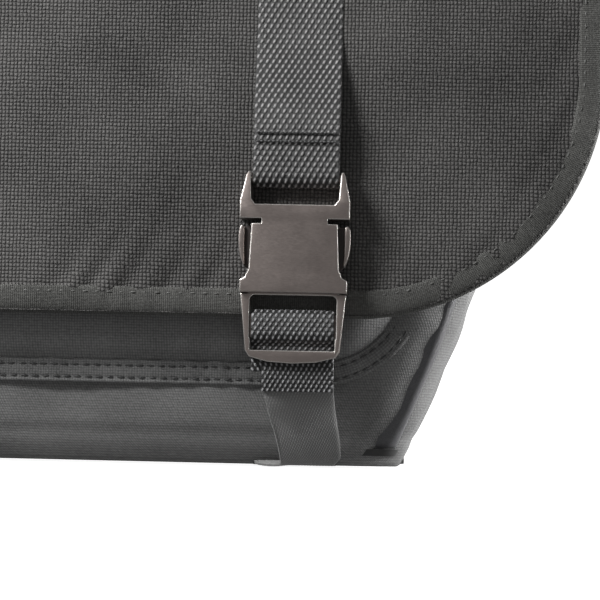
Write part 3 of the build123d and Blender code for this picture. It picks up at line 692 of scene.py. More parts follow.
def tub_piece(name, grid, uv, thickness):
    """A closed tub of cloth: the outer grid, an inner copy and the edge that joins them."""
    rings, around = grid.shape[:2]
    inner = grid - grid_normals(grid, wrap=True) * thickness
    inner[:FLOOR_RINGS, :, 2] = grid[:FLOOR_RINGS, :, 2] + thickness
    count = rings * around
    faces = grid_faces(rings, around, wrap=True)
    faces += grid_faces(rings, around, wrap=True, first=count, flip=True)
    faces.append(tuple(range(around - 1, -1, -1)))
    faces.append(tuple(count + j for j in range(around)))
    edge = (rings - 1) * around
    for j in range(around):
        k = (j + 1) % around
        faces.append((edge + j, edge + k, count + edge + k, count + edge + j))
    points = np.concatenate([grid.reshape(-1, 3), inner.reshape(-1, 3)])
    return mesh_from(name, points, faces, np.concatenate([uv.reshape(-1, 2)] * 2))


def body_relief(p, n):
    """Sag, seam grooves, gathers and the hem's step in the body's cloth."""
    x, y, z = p[..., 0], p[..., 1], p[..., 2]
    front = np.abs(n[..., 1])
    sag = 1.0 * waves(x + y, z, 95, 11) + 0.35 * waves(x - y, z, 30, 12)
    calm = np.clip((BODY_TOP - z) / 40, 0.15, 1) * np.clip(z / 14, 0.1, 1)
    w = half_width(z)
    seam_line = np.exp(-((w - np.abs(x) - SEAM_RADIUS * 0.45) ** 2) / 1.2) * (front > 0.2)
    gathers = pucker(z, w - np.abs(x) - 6, 13, 0.7, 13) * front
    hem = -0.5 * np.exp(-((z - 9) ** 2) / 3.0)
    return sag * calm - 0.4 * seam_line + gathers * calm + hem


tub, tub_uv = body_tub(0.0, 0.3, BODY_TOP, SEAM_RADIUS, body_relief)
shell = tub_piece("body_shell", tub, tub_uv, 1.5)
finish_piece(shell, body_cloth_painted_lit, "bag", "body_fabric",
             "front_panel", "back_panel", "gusset_left", "gusset_right", "base_panel")

# ---- lining, stiffener and rim ----
LINING_FLOOR = low("lining")[2]
LINING_TOP = high("lining")[2]


def lining_relief(p, n):
    """Soft folds of the loose lining."""
    return 0.35 * waves(p[..., 0] + p[..., 1], p[..., 2], 40, 21) - 0.4


lining_grid, lining_uv = body_tub(2.4, LINING_FLOOR + 0.3, LINING_TOP - 1, 5.0, lining_relief, 6.0)
lining = tub_piece("lining_cloth_tub", lining_grid, lining_uv, 0.7)
finish_piece(lining, lining_cloth, "bag", "lining_fabric", "lining")

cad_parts["base_stiffener"].data.materials.clear()
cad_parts["base_stiffener"].data.materials.append(board_plastic)


def band_section(width, thick, puff, count=9):
    """Half of a folded tape's outline: from its inner edge over the fold, as (inwards, outwards)."""
    across = np.linspace(width, 0.4, count)
    return [(a, thick + puff * sin(pi * min(1, (width - a) / width + 0.12)) ** 0.5) for a in across]


def folded_tape(name, centre, inward, normal, width, cloth, tape=0.65, puff=0.25, seed=1):
    """A binding tape folded over a cloth edge: a closed band along the edge."""
    centre, inward, normal = (np.asarray(a, float) for a in (centre, inward, normal))
    run = distances(centre)
    front = band_section(width, cloth / 2 + tape * 0.6, puff + tape * 0.4)
    section = front + [(-0.35, cloth / 2 * 0.9), (-0.75, cloth / 4), (-0.85, 0), (-0.75, -cloth / 4),
                       (-0.35, -cloth / 2 * 0.9)] + [(a, -b) for a, b in front[::-1]]
    section = np.array(section)
    arc_length = distances(section)
    rings, uvs = [], []
    wave = pucker(run, 0 * run, 9.0, 0.16, seed) + 0.10 * waves(run, 0 * run, 30, seed + 2, 6)
    shift = 0.22 * waves(run, 0 * run, 45, seed + 4, 8)
    for i in range(len(centre)):
        a = section[:, 0:1] + shift[i] * (section[:, 0:1] > 2)
        b = section[:, 1:2] + np.sign(section[:, 1:2]) * wave[i] * (section[:, 0:1] > 0.5)
        rings.append(centre[i] + inward[i] * a + normal[i] * b)
        uvs.append(np.c_[np.full(len(section), run[i]), arc_length])
    return tube_from(name, np.array(rings), np.array(uvs))


rim_z = BODY_TOP + 0.4
rim_p, rim_n = perimeter(BODY_TOP - 1, 1.6, 60, 18, 5.0)
rim_p, rim_n = np.vstack([rim_p, rim_p[:1]]), np.vstack([rim_n, rim_n[:1]])
rim_centre = np.c_[rim_p, np.full(len(rim_p), rim_z)]
rim_down = np.tile([0, 0, -1.0], (len(rim_p), 1))
rim_out = np.c_[rim_n, np.zeros(len(rim_n))]
rim = folded_tape("rim_tape", rim_centre, rim_down, rim_out, 10.4, 3.0, 0.5, 0.12, 31)
finish_piece(rim, tape_cloth, "bag", "binding_tape", "rim_binding")
stitch_rows("rim_stitches", [(rim_centre + rim_down * 8.6 + rim_out * 2.0, rim_out)], "bag", seed=5)

# inner pocket against the back lining
pocket_low, pocket_high = low("inner_pocket"), high("inner_pocket")
px = np.linspace(pocket_low[0], pocket_high[0], 60)
pz = np.linspace(pocket_low[2], pocket_high[2], 36)
gx, gz = np.meshgrid(px, pz)
slack = 1.6 * np.sin(pi * (gx - px[0]) / (px[-1] - px[0])) * ((gz - pz[0]) / (pz[-1] - pz[0])) ** 1.5
gy = half_depth(gz) - 3.9 - slack - 0.2 * waves(gx, gz, 40, 41)
pocket_uv = np.stack([gx, gz], 2)
inner_pocket = sheet_from("inner_pocket_cloth", np.stack([gx, gy, gz], 2), pocket_uv, 0.6, flip=True)
finish_piece(inner_pocket, lining_cloth, "bag", "lining_fabric", "inner_pocket")
edge_path = np.stack([px, half_depth(pz[-1]) - 4.2 - slack[-1], np.full(len(px), pz[-1] - 0.6)], 1)
out = np.tile([0, -1.0, 0], (len(px), 1))
down = np.tile([0, 0, -1.0], (len(px), 1))
bind = folded_tape("inner_pocket_tape", edge_path, down, out, 8.5, 0.7, 0.35, 0.1, 43)
finish_piece(bind, tape_cloth, "bag", "binding_tape", "inner_pocket_binding")

# ---- front pocket: puffed panel, flat double-stitched band ----
panel_skin = Skin("front_panel")
POCKET_LOW, POCKET_HIGH = low("pocket_band")[2] + POCKET_BAND, high("front_pocket")[2]
POCKET_HALF = high("pocket_band")[0] - POCKET_BAND
PUFF = -low("front_pocket")[1] - half_depth(80)


def pocket_outline(half, bottom, top, radius, count):
    """Points in XZ from the pocket's top left down, round both lower corners and up the right side."""
    middle_z = bottom + radius
    left, right_x = -half + radius, half - radius
    quarter = np.linspace(0, pi / 2, count // 3)[1:-1]
    points = [(-half, top + (middle_z - top) * t) for t in np.linspace(0, 1, count)]
    points += [(left - radius * cos(a), middle_z - radius * sin(a)) for a in quarter]
    points += [(left + (right_x - left) * t, bottom) for t in np.linspace(0, 1, count)]
    points += [(right_x + radius * sin(a), middle_z - radius * cos(a)) for a in quarter]
    points += [(half, middle_z + (top - middle_z) * t) for t in np.linspace(0, 1, count)]
    return np.array(points)


def pocket_depth(x, z):
    """How far inside the pocket's outline a point is."""
    half, r = POCKET_HALF, POCKET_RADIUS
    qx = np.abs(x) - (half - r)
    qz = np.abs(z - (POCKET_LOW + POCKET_HIGH) / 2) - ((POCKET_HIGH - POCKET_LOW) / 2 - r)
    outside = np.sqrt(np.maximum(qx, 0) ** 2 + np.maximum(qz, 0) ** 2) + np.minimum(np.maximum(qx, qz), 0)
    return r - outside


def squircle_grid(rows, columns):
    """A grid that fills the pocket's rounded outline, with its outermost rows on the outline."""
    v = np.linspace(-1, 1, rows)
    v = np.sign(v) * (1 - (1 - np.abs(v)) ** 1.6)
    u = np.linspace(-1, 1, columns)
    u = np.sign(u) * (1 - (1 - np.abs(u)) ** 1.6)
    middle, tall = (POCKET_LOW + POCKET_HIGH) / 2, (POCKET_HIGH - POCKET_LOW) / 2
    gu, gv = np.meshgrid(u, v)
    z = middle + gv * tall
    d = tall - np.abs(z - middle)
    corner = np.sqrt(np.maximum(POCKET_RADIUS**2 - (POCKET_RADIUS - d) ** 2, 0))
    reach = np.where(d < POCKET_RADIUS, POCKET_HALF - POCKET_RADIUS + corner, POCKET_HALF)
    return gu * reach, z


gx, gz = squircle_grid(110, 200)
depth_in = np.maximum(pocket_depth(gx, gz), 0)
face_y = -half_depth(gz) + front_drop(gx, gz)
swell = PUFF * (1 - np.exp(-depth_in / 5.0)) * (1 - 0.10 * np.exp(-((gz - 95) / 60) ** 2))
creases = pucker(gx, depth_in, 13, 0.9, 51) * (1 - np.exp(-depth_in / 2.0))
creases = creases + 0.55 * waves(gx, gz, 55, 53) * (1 - np.exp(-depth_in / 8.0)) - 0.5
py = face_y - np.minimum(np.maximum(swell + creases, 0.2), PUFF + 0.2) - 0.25
pocket = sheet_from("front_pocket_cloth", np.stack([gx, py, gz], 2), np.stack([gx, gz], 2), 1.0)
finish_piece(pocket, body_cloth_painted_lit, "bag", "body_fabric", "front_pocket")

ring = pocket_outline(POCKET_HALF, POCKET_LOW, POCKET_HIGH - 3, POCKET_RADIUS, 70)
ring, ring_run = resample(ring, 2.0)
tangent = directions(ring)
outward = np.stack([tangent[:, 1], -tangent[:, 0]], 1)
across = np.linspace(-0.6, POCKET_BAND + 0.4, 14)
band = np.zeros((len(ring), len(across), 3))
ripple = 0.35 * pucker(ring_run, 0 * ring_run, 10, 0.8, 61)
for j, a in enumerate(across):
    p = ring + outward * a
    grooves = sum(np.exp(-((a - row) ** 2) / 0.3) for row in STITCH_LINES)
    crown = 1.15 - 0.5 * abs(a / POCKET_BAND - 0.5) ** 2 - 0.35 * grooves
    band_y = front_drop(p[:, 0], p[:, 1]) - half_depth(p[:, 1]) - crown - ripple
    band[:, j] = np.c_[p[:, 0], band_y, p[:, 1]]
band_uv = np.stack(np.meshgrid(across, ring_run), 2)
pocket_band = sheet_from("pocket_band_cloth", band, band_uv, 1.0)
finish_piece(pocket_band, body_cloth_painted_lit, "bag", "body_fabric", "pocket_band")
rows = []
for a in STITCH_LINES:
    p = ring + outward * a
    y = front_drop(p[:, 0], p[:, 1]) - half_depth(p[:, 1]) - 0.95
    rows.append((np.c_[p[:, 0], y, p[:, 1]], np.tile([0, -1.0, 0], (len(p), 1))))
stitch_rows("pocket_stitches", rows, "bag", pitch=3.2, length=2.3, material=dark_thread, seed=8)


# ---- joining and hard parts ----
def merge(name, pieces):
    """One object from several, keeping their UV maps."""
    whole = bmesh.new()
    for piece in pieces:
        whole.from_mesh(piece.data)
    mesh = bpy.data.meshes.new(name)
    whole.to_mesh(mesh)
    whole.free()
    for piece in pieces:
        bpy.data.objects.remove(piece)
    return link(bpy.data.objects.new(name, mesh))


def bevelled(node, material, body, slot, width=0.3, segments=2):
    """A hard part: the CAD solid with its long edges rounded as casting and tumbling leave them."""
    work = bmesh.new()
    work.from_mesh(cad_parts[node].data)
    bmesh.ops.remove_doubles(work, verts=work.verts, dist=0.00002)
    bmesh.ops.dissolve_limit(work, angle_limit=radians(1.5), verts=work.verts, edges=work.edges)
    mesh = bpy.data.meshes.new(node + "_rough")
    work.to_mesh(mesh)
    work.free()
    obj = link(bpy.data.objects.new(node + "_finished", mesh))
    modifier = obj.modifiers.new("edges", "BEVEL")
    modifier.width = width * MM
    modifier.segments = segments
    modifier.limit_method = "ANGLE"
    modifier.angle_limit = radians(32)
    modifier.use_clamp_overlap = True
    bpy.context.view_layer.update()
    made = bpy.data.meshes.new_from_object(obj.evaluated_get(bpy.context.evaluated_depsgraph_get()))
    obj.modifiers.clear()
    obj.data = made
    made.polygons.foreach_set("use_smooth", [True] * len(made.polygons))
    made.set_sharp_from_angle(angle=radians(38))
    return finish_piece(obj, material, body, slot, node)


# ---- zipper ----
ZIP_Z = (low("zipper_coil")[2] + high("zipper_coil")[2]) / 2
ZIP_HALF = high("zipper_coil")[0]
ZIP_LEAN = radians(10.5)
zip_face = panel_skin.hit((0, -400, ZIP_Z), (0, 1, 0)).y


def zip_point(x, up, out):
    """A point on the zip: along it, up its slope and out from the cloth."""
    y = zip_face - out * cos(ZIP_LEAN) + up * sin(ZIP_LEAN)
    return (x, y, ZIP_Z + up * cos(ZIP_LEAN) + out * sin(ZIP_LEAN))


zx = np.linspace(-ZIP_HALF - 3, ZIP_HALF + 3, 240)
for word, low_up, high_up in (("lower", -8.3, -0.5), ("upper", 0.5, 8.3)):
    ups = np.linspace(low_up, high_up, 9)
    lifts = [0.75 + 0.06 * sin(x / 3) + 0.1 * sin(x / 17) for x in zx]
    tape = np.array([[zip_point(x, up, lift) for x, lift in zip(zx, lifts)] for up in ups])
    uv = np.stack(np.meshgrid(zx, ups), 2)
    piece = sheet_from("zip_tape_" + word, tape, uv, 0.55)
    finish_piece(piece, tape_cloth, "bag", "zipper_tape", "zipper_tape_" + word)

turns = int(2 * ZIP_HALF / 1.45)
coil_points, coil_faces = [], []
for side in (-1, 1):
    rings = []
    steps = turns * 10
    for i in range(steps + 1):
        t = i / steps
        angle = 2 * pi * turns * t + (pi if side > 0 else 0)
        x = -ZIP_HALF + 2 * ZIP_HALF * t
        centre = np.array(zip_point(x, side * (0.95 + 0.85 * cos(angle)), 1.75 + 0.8 * sin(angle)))
        rings.append([centre + 0.3 * np.array([cos(a), sin(a) * sin(angle), sin(a) * cos(angle)])
                      for a in (0, pi / 2, pi, 1.5 * pi)])
    rings = np.array(rings)
    first = len(coil_points)
    coil_points += list(rings.reshape(-1, 3))
    coil_faces += grid_faces(rings.shape[0], 4, wrap=True, first=first)
    coil_faces.append(tuple(first + j for j in (3, 2, 1, 0)))
    coil_faces.append(tuple(first + (rings.shape[0] - 1) * 4 + j for j in range(4)))
coil = mesh_from("zip_coil_wound", coil_points, coil_faces)
finish_piece(coil, coil_plastic, "bag", "zipper_coil", "zipper_coil")
bevelled("zipper_stops", dark_metal, "bag", "zipper_metal", 0.15)
bevelled("zip_slider", dark_metal, "zip_slider", "zipper_metal", 0.2)
bevelled("zip_pull", dark_metal, "zip_pull", "zipper_metal", 0.2)

# ---- flap ----
flap_skin = Skin("flap_front_panel", "flap_top_panel")
HINGE_Y = high("flap_top_panel")[1]
FOLD_Y = high("flap_front_panel")[1]
FLAP_HALF = high("flap_front_panel")[0]
FLAP_LOW = low("flap_front_panel")[2]
top_path = [(y, flap_skin.hit((0, y, 400), (0, 0, -1)).z) for y in np.arange(HINGE_Y - 0.8, FOLD_Y + 3, -3.0)]
drop = high("flap_front_panel")[2]
front_path = [(flap_skin.hit((0, -400, z), (0, 1, 0)).y, z) for z in np.arange(drop - 5, FLAP_LOW + 1, -3.0)]
front_path.append((front_path[-1][0], FLAP_LOW))
BACK_LAP = 10.0
back_path = [(HINGE_Y + 2.1, 253.0), (HINGE_Y + 2.1, 262.4)]
flap_line, _ = resample(softened(back_path + top_path + front_path, 2.0, 6), 2.0)
flap_run = distances(flap_line)
flap_tangent = directions(flap_line)
flap_normal = np.stack([flap_tangent[:, 1], -flap_tangent[:, 0]], 1)
FLAP_LONG = flap_run[-1]
SEAM_RUN = float(np.interp(-5.0, -flap_line[:30, 0], flap_run[:30]))


def flap_place(x, s, out):
    """A point on the flap: across it, along it from the hinge, and out from its face."""
    y = np.interp(s, flap_run, flap_line[:, 0]) + out * np.interp(s, flap_run, flap_normal[:, 0])
    z = np.interp(s, flap_run, flap_line[:, 1]) + out * np.interp(s, flap_run, flap_normal[:, 1])
    return np.stack(np.broadcast_arrays(x, y, z), -1)


def flap_reach(s):
    """Half the flap's width at a distance from its hinge."""
    rise = np.clip(FLAP_LONG - s, 0, FLAP_RADIUS)
    return FLAP_HALF - FLAP_RADIUS + np.sqrt(np.maximum(FLAP_RADIUS**2 - (FLAP_RADIUS - rise) ** 2, 0))


def flap_relief(x, s):
    """Folds of the flap's cloth: long soft ones, gathers by the binding, and flat under the straps."""
    calm = 1 - np.exp(-(((np.abs(x) - STRAP_X) / 21) ** 4))
    edge = np.minimum(FLAP_LONG - s, flap_reach(s) - np.abs(x))
    soft = 1 - np.exp(-np.maximum(edge, 0) / 14)
    long_folds = 1.1 * (0.5 + 0.5 * waves(x, s, 110, 71)) + 0.35 * waves(x, s, 34, 72)
    gathers = pucker(x + 0.6 * s, edge - BINDING, 12, 0.55, 73) * np.clip(edge / 8, 0, 1)
    return np.maximum(long_folds * soft * (0.15 + 0.85 * calm), -0.1) + gathers * (0.2 + 0.8 * calm)


def flap_piece(name, start, end, out, thickness, step, reach_in=0.0):
    """A layer of the flap between two distances from the hinge."""
    if end > FLAP_LONG - 1:
        close = FLAP_LONG - 24 * np.linspace(1, 0, 26) ** 1.7
        rows = np.r_[np.arange(start, FLAP_LONG - 24, step), close]
    else:
        rows = np.arange(start, end + step / 2, step)
    u = np.linspace(-1, 1, 210)
    gu, gs = np.meshgrid(u, rows)
    gx = gu * (flap_reach(gs) - reach_in)
    grid = flap_place(gx, gs, out + flap_relief(gx, gs))
    return sheet_from(name, grid, np.stack([gx, gs], 2), thickness)


SEAM_LAP = 4.0
LINING_GAP = 1.25
flap_back = flap_piece("flap_back_cloth", 0, SEAM_RUN + SEAM_LAP, 0.3, 0.9, 2.4)
flap_main = flap_piece("flap_main_cloth", SEAM_RUN, FLAP_LONG, 0.0, 1.1, 2.4)
lining_back = flap_piece("flap_back_lining", BACK_LAP + 1, SEAM_RUN + SEAM_LAP, -LINING_GAP, 0.6, 4.0, 0.5)
lining_main = flap_piece("flap_main_lining", SEAM_RUN, FLAP_LONG, -LINING_GAP, 0.6, 4.0, 0.5)
for piece, material, slot, node, ends in (
    (flap_back, flap_cloth, "flap_fabric", "flap_top_panel", "back"),
    (flap_main, flap_cloth, "flap_fabric", "flap_front_panel", "main"),
    (lining_back, lining_cloth, "lining_fabric", "flap_top_lining", "back"),
    (lining_main, lining_cloth, "lining_fabric", "flap_front_lining", "main"),
):
    finish_piece(piece, material, None, slot, node)
    if ends == "back":
        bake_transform(piece)
    else:
        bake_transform(piece)


def flap_edge_path(start):
    """The flap's outline from a start distance down one side, round the bottom and back up to it."""
    side = np.arange(start, FLAP_LONG - FLAP_RADIUS, 2.0)
    turn = np.linspace(0, pi / 2, 60)
    x = np.r_[np.full(len(side), FLAP_HALF), FLAP_HALF - FLAP_RADIUS + FLAP_RADIUS * np.cos(turn)]
    s = np.r_[side, FLAP_LONG - FLAP_RADIUS + FLAP_RADIUS * np.sin(turn)]
    middle = np.linspace(FLAP_HALF - FLAP_RADIUS, 0, 60)[1:]
    x, s = np.r_[x, middle], np.r_[s, np.full(len(middle), FLAP_LONG)]
    x, s = np.r_[x, -x[-2::-1]], np.r_[s, s[-2::-1]]
    flat, _ = resample(np.stack([x, s], 1), 1.6)
    return flat


def edge_frame(flat):
    """The flap's edge in space, with its inward direction and its face normal."""
    tangent = directions(flat)
    inward = np.stack([-np.abs(tangent[:, 1]) * np.sign(flat[:, 0]), -np.abs(tangent[:, 0])], 1)
    here = flap_place(flat[:, 0], flat[:, 1], -0.95)
    out = flap_place(flat[:, 0], flat[:, 1], 0.05) - here
    step = flap_place(flat[:, 0] + inward[:, 0], flat[:, 1] + inward[:, 1], -0.95) - here
    step = step / np.linalg.norm(step, axis=1, keepdims=True)
    return here, step, out


edge_flat = flap_edge_path(SEAM_RUN + 1.0)
centre, inward, out = edge_frame(edge_flat)
main_tape = folded_tape("flap_main_tape", centre, inward, out, BINDING, FLAP_THICK + 1.2, 0.8, 0.3, 81)
finish_piece(main_tape, tape_cloth, None, "binding_tape", "flap_front_binding")
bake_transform(main_tape)
parts = []
for side in (-1, 1):
    s = np.arange(BACK_LAP, SEAM_RUN + 3.0, 1.5)
    flat = np.stack([np.full(len(s), side * FLAP_HALF), s], 1)
    back_centre, _, back_out = edge_frame(flat)
    back_inward = np.tile([-side * 1.0, 0, 0], (len(s), 1))
    tape_end = folded_tape("tape_end", back_centre, back_inward, back_out, BINDING, FLAP_THICK, 0.5, 0.15, 83)
    parts.append(tape_end)
back_tape = merge("flap_back_tape", parts)
finish_piece(back_tape, tape_cloth, None, "binding_tape", "flap_top_binding")
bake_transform(back_tape)

stitch_line = centre + inward * (BINDING - 1.6) + out * (FLAP_THICK / 2 + 1.45)
flap_stitches = stitch_rows("flap_stitches", [(stitch_line, out)], None, length=2.1, seed=84)
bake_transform(flap_stitches)
seam_x = np.arange(-FLAP_HALF + 9, FLAP_HALF - 8, 2.0)
seam_s = np.full(len(seam_x), SEAM_RUN + 1.6)
seam_line = flap_place(seam_x, seam_s, flap_relief(seam_x, SEAM_RUN + 1.6) + 0.05)
seam_up = np.tile([0, 0.05, 1.0], (len(seam_line), 1))
stitch_rows("flap_seam_stitches", [(seam_line, seam_up)], "flap_top", seed=85)

strip_low, strip_high = low("flap_seam_strip"), high("flap_seam_strip")
sx = np.linspace(strip_low[0], strip_high[0], 120)
sz = np.linspace(strip_low[2], strip_high[2], 9)
gx, gz = np.meshgrid(sx, sz)
loose = np.clip((strip_high[2] - gz) / 10, 0.2, 1)
out_y = strip_high[1] + 0.25 * waves(gx, gz, 40, 87) * loose
strip_points, strip_uv = np.stack([gx, out_y, gz], 2), np.stack([gx, gz], 2)
strip = sheet_from("flap_seam_cloth", strip_points, strip_uv, 1.0, flip=True)
finish_piece(strip, flap_cloth, "bag", "flap_fabric", "flap_seam_strip")

# ---- straps, buckles and their webbing ----
def tail_lean(t):
    """The plug's webbing draws in below its bottom bar, where it is sewn to the lower strap."""
    amount = ease(np.clip((t - 0.72) / 0.14, 0, 1))
    return 1.6 * amount, 0 * t, 1 - 0.13 * amount


def slab(outline, near, far):
    """A flat piece cut to an outline in XZ, between two depths, as points and faces."""
    count = len(outline)
    points = [(px, near, pz) for px, pz in outline] + [(px, far, pz) for px, pz in outline]
    faces = [tuple(range(count)), tuple(range(2 * count - 1, count - 1, -1))]
    for i in range(count):
        j = (i + 1) % count
        faces.append((i, i + count, j + count, j))
    return points, faces


PAD_OUTER = [(14.6, 57.7), (15.35, 59.4), (15.9, 61.6), (16.22, 64.0), (16.25, 66.4), (16.0, 68.6),
             (15.6, 69.6)]
PAD_INNER = [(15.1, 69.65), (14.6, 69.2), (14.5, 67.0), (14.55, 64.0), (14.5, 61.0), (14.3, 58.6)]
ARM_LEAF = [(10.2, 52.5), (12.2, 52.5), (12.7, 56.0), (14.8, 58.2), (14.9, 64), (14.8, 69.2), (13.2, 69.4),
            (10.7, 68.0)]


def spring_arm(word, place, x, side):
    """One spring arm: a slim leaf in the socket's window, coloured near-black brown as painted shade of the
    window, with a finger pad at its outer edge.
    """
    node = "buckle_" + word + "_arm_" + place
    half = high(node)[1] - BUCKLE_Y
    made = []
    for outline, reach, width in ((PAD_OUTER + PAD_INNER, half, 0.45), (ARM_LEAF, 1.2, 0.15)):
        shape = [(x + side * px, pz) for px, pz in outline]
        if side > 0:
            shape = shape[::-1]
        points, faces = slab(shape, BUCKLE_Y - reach, BUCKLE_Y + reach)
        part = mesh_from("arm_part", points, faces, smooth=False)
        work = bmesh.new()
        work.from_mesh(part.data)
        bmesh.ops.recalc_face_normals(work, faces=work.faces)
        rim = [e for e in work.edges if e.calc_face_angle(0) > radians(40)]
        bmesh.ops.bevel(work, geom=rim, offset=width * MM, segments=3, profile=0.5, affect="EDGES",
                        clamp_overlap=True)
        work.to_mesh(part.data)
        work.free()
        part.data.polygons.foreach_set("use_smooth", [True] * len(part.data.polygons))
        part.data.set_sharp_from_angle(angle=radians(40))
        part.data.materials.append(gunmetal if not made else painted_window_shade)
        made.append(part)
    pad, leaf = made
    pad_faces = len(pad.data.polygons)
    arm = merge("buckle_" + word + "_arm_shape_" + place, [pad, leaf])
    arm.data.materials.append(gunmetal)
    arm.data.materials.append(painted_window_shade)
    indices = [0 if i < pad_faces else 1 for i in range(len(arm.data.polygons))]
    arm.data.polygons.foreach_set("material_index", indices)
    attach(arm, word + "_arm_" + place)
    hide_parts(node)


for word, x in (("left", -STRAP_X), ("right", STRAP_X)):
    fine = word == "right"
    strap_node = "flap_strap_" + word
    skin = Skin(strap_node)
    top = high(strap_node)[2]
    face = [(skin.hit((x, -400, z), (0, 1, 0)).y, z) for z in np.arange(top - 1.5, BAR_Z + 3, -3.0)]
    face, _ = resample(smoothed(face, 3), 2.0)
    along = directions(face)
    middle = face + np.stack([-along[:, 1], along[:, 0]], 1) * (WEB_PLY / 2)
    turn = arc((BAR_Y, BAR_Z), BAR_RADIUS + 0.95, 185, 355, 14)
    back = [(BAR_Y + 2.4, BAR_Z + 4), (BAR_Y + 2.55, BAR_Z + 14), (BAR_Y + 2.9, BAR_Z + 23)]
    path = softened(list(map(tuple, middle)) + turn + back, 0.8, 6)
    strap = strap_along("flap_webbing_" + word, x, path, WEBBING - 0.4, WEB_PLY - 0.1, PITCH_U, PITCH_V,
                        0.38, fine)
    finish_piece(strap, web_nylon, "flap_front", "webbing", strap_node)
    tack = []
    for height in (94.0, 96.6):
        y = skin.hit((x, -400, height), (0, 1, 0)).y - 0.12
        run = np.linspace(x - 11.8, x + 11.8, 30)
        row = np.stack([run, np.full(30, y), np.full(30, height)], 1)
        tack.append((row, np.tile([0, -1.0, 0], (30, 1))))
    stitch_rows("strap_tack_" + word, tack, "flap_front", 1.15, 1.35, 0.3, dark_thread, 91)
    bevelled("buckle_socket_" + word, gunmetal, "flap_front", "buckle_metal", 0.45, 4)
    bevelled("buckle_plug_" + word, gunmetal, "plug_" + word, "buckle_metal", 0.4, 4)
    for place in ("inner", "outer"):
        side = -1 if (place == "outer") == (word == "left") else 1
        spring_arm(word, place, x, side)
    front_y, bar_y = BUCKLE_Y - 1.85, BUCKLE_Y
    loop_path = [
        (bar_y + 1.85, 27.3), (bar_y + 1.85, 42.9), (bar_y + 1.5, 44.1), (bar_y + 0.6, 44.75),
        (bar_y - 0.6, 44.75), (bar_y - 1.5, 44.1), (front_y, 42.9), (front_y, 38.0),
        (bar_y - 1.5, 36.8), (bar_y - 0.4, 36.3), (bar_y + 0.35, 35.6), (bar_y + 0.45, 34.2),
        (bar_y + 0.45, 31), (bar_y + 0.5, 27.5), (bar_y + 0.95, 24), (bar_y + 1.35, 21.7),
    ]
    loop_path = softened(loop_path, 0.5, 5)
    loop = strap_along("plug_webbing_" + word, x, loop_path, WEBBING - 1.4, 1.3, ROLL_U, ROLL_V,
                       0.38, fine, tail_lean)
    finish_piece(loop, roll_nylon, "plug_" + word, "webbing", "plug_loop_" + word)
    lower_path = [
        (-77.2, 27.2), (-76.4, 23.5), (-74.5, 19.2), (-71.75, 15.05), (-67.8, 9.6), (-64.3, 5.7),
        (-61.1, 3.0), (-57.5, 1.35), (-54.0, 0.9), (-52.0, 0.9),
    ]
    lower_path = softened(lower_path, 0.8, 8)

    def twist(t):
        """The lower strap drifts outward as it goes down, and its inner edge drops back a little."""
        amount = np.sin(np.clip(t, 0, 1) * pi) ** 1.3
        drift = np.clip(t / 0.75, 0, 1)
        home = 1 - ease(np.clip((t - 0.8) / 0.2, 0, 1))
        narrow = 1 - (0.13 + 0.12 * drift) * home
        return (1.6 + 3.4 * ease(drift)) * home, -0.4 * amount, narrow

    lower = strap_along("lower_webbing_" + word, x, lower_path, WEBBING - 1.4, 1.3, FINE_U, FINE_V,
                        0.10, fine, twist)
    finish_piece(lower, fine_nylon, None, "webbing", "lower_strap_" + word)
    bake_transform(lower)
    base_low, base_high = low("base_strap_" + word), high("base_strap_" + word)
    base_path = [(base_low[1], 0.85), (base_high[1], 0.85)]
    base = strap_along("base_webbing_" + word, x, base_path, WEBBING - 0.2, 1.3, PITCH_U, PITCH_V,
                       0.2, False)
    finish_piece(base, web_nylon, "bag", "webbing", "base_strap_" + word)

# ---- shoulder strap ----
SHOULDER_X = 112.0
leg_skin = Skin("shoulder_strap")
leg_top = high("shoulder_strap")[2]
leg_face = []
for z in np.arange(leg_top - 6, 46, -4.0):
    hit = leg_skin.hit((SHOULDER_X, 400, z), (0, -1, 0))
    leg_face.append((hit.y - 0.8, z))
BEND_Y = 87.1
FOLD_SUM = SHOULDER_X + SHOULDER_HALF + BEND_Y
leg_path = leg_face + arc((BEND_Y, 19.6), 18.8, 180, 270, 16) + [(BEND_Y + 60, 0.8)]
leg_path, leg_run = resample(softened(leg_path, 1.5, 5), 0.8)
turn_y = directions(leg_path)
leg_out = np.stack([-turn_y[:, 1], turn_y[:, 0]], 1)
bend_at = float(np.interp(BEND_Y, leg_path[-80:, 0], leg_run[-80:]))
half_run = bend_at + SHOULDER_HALF + SHOULDER_X


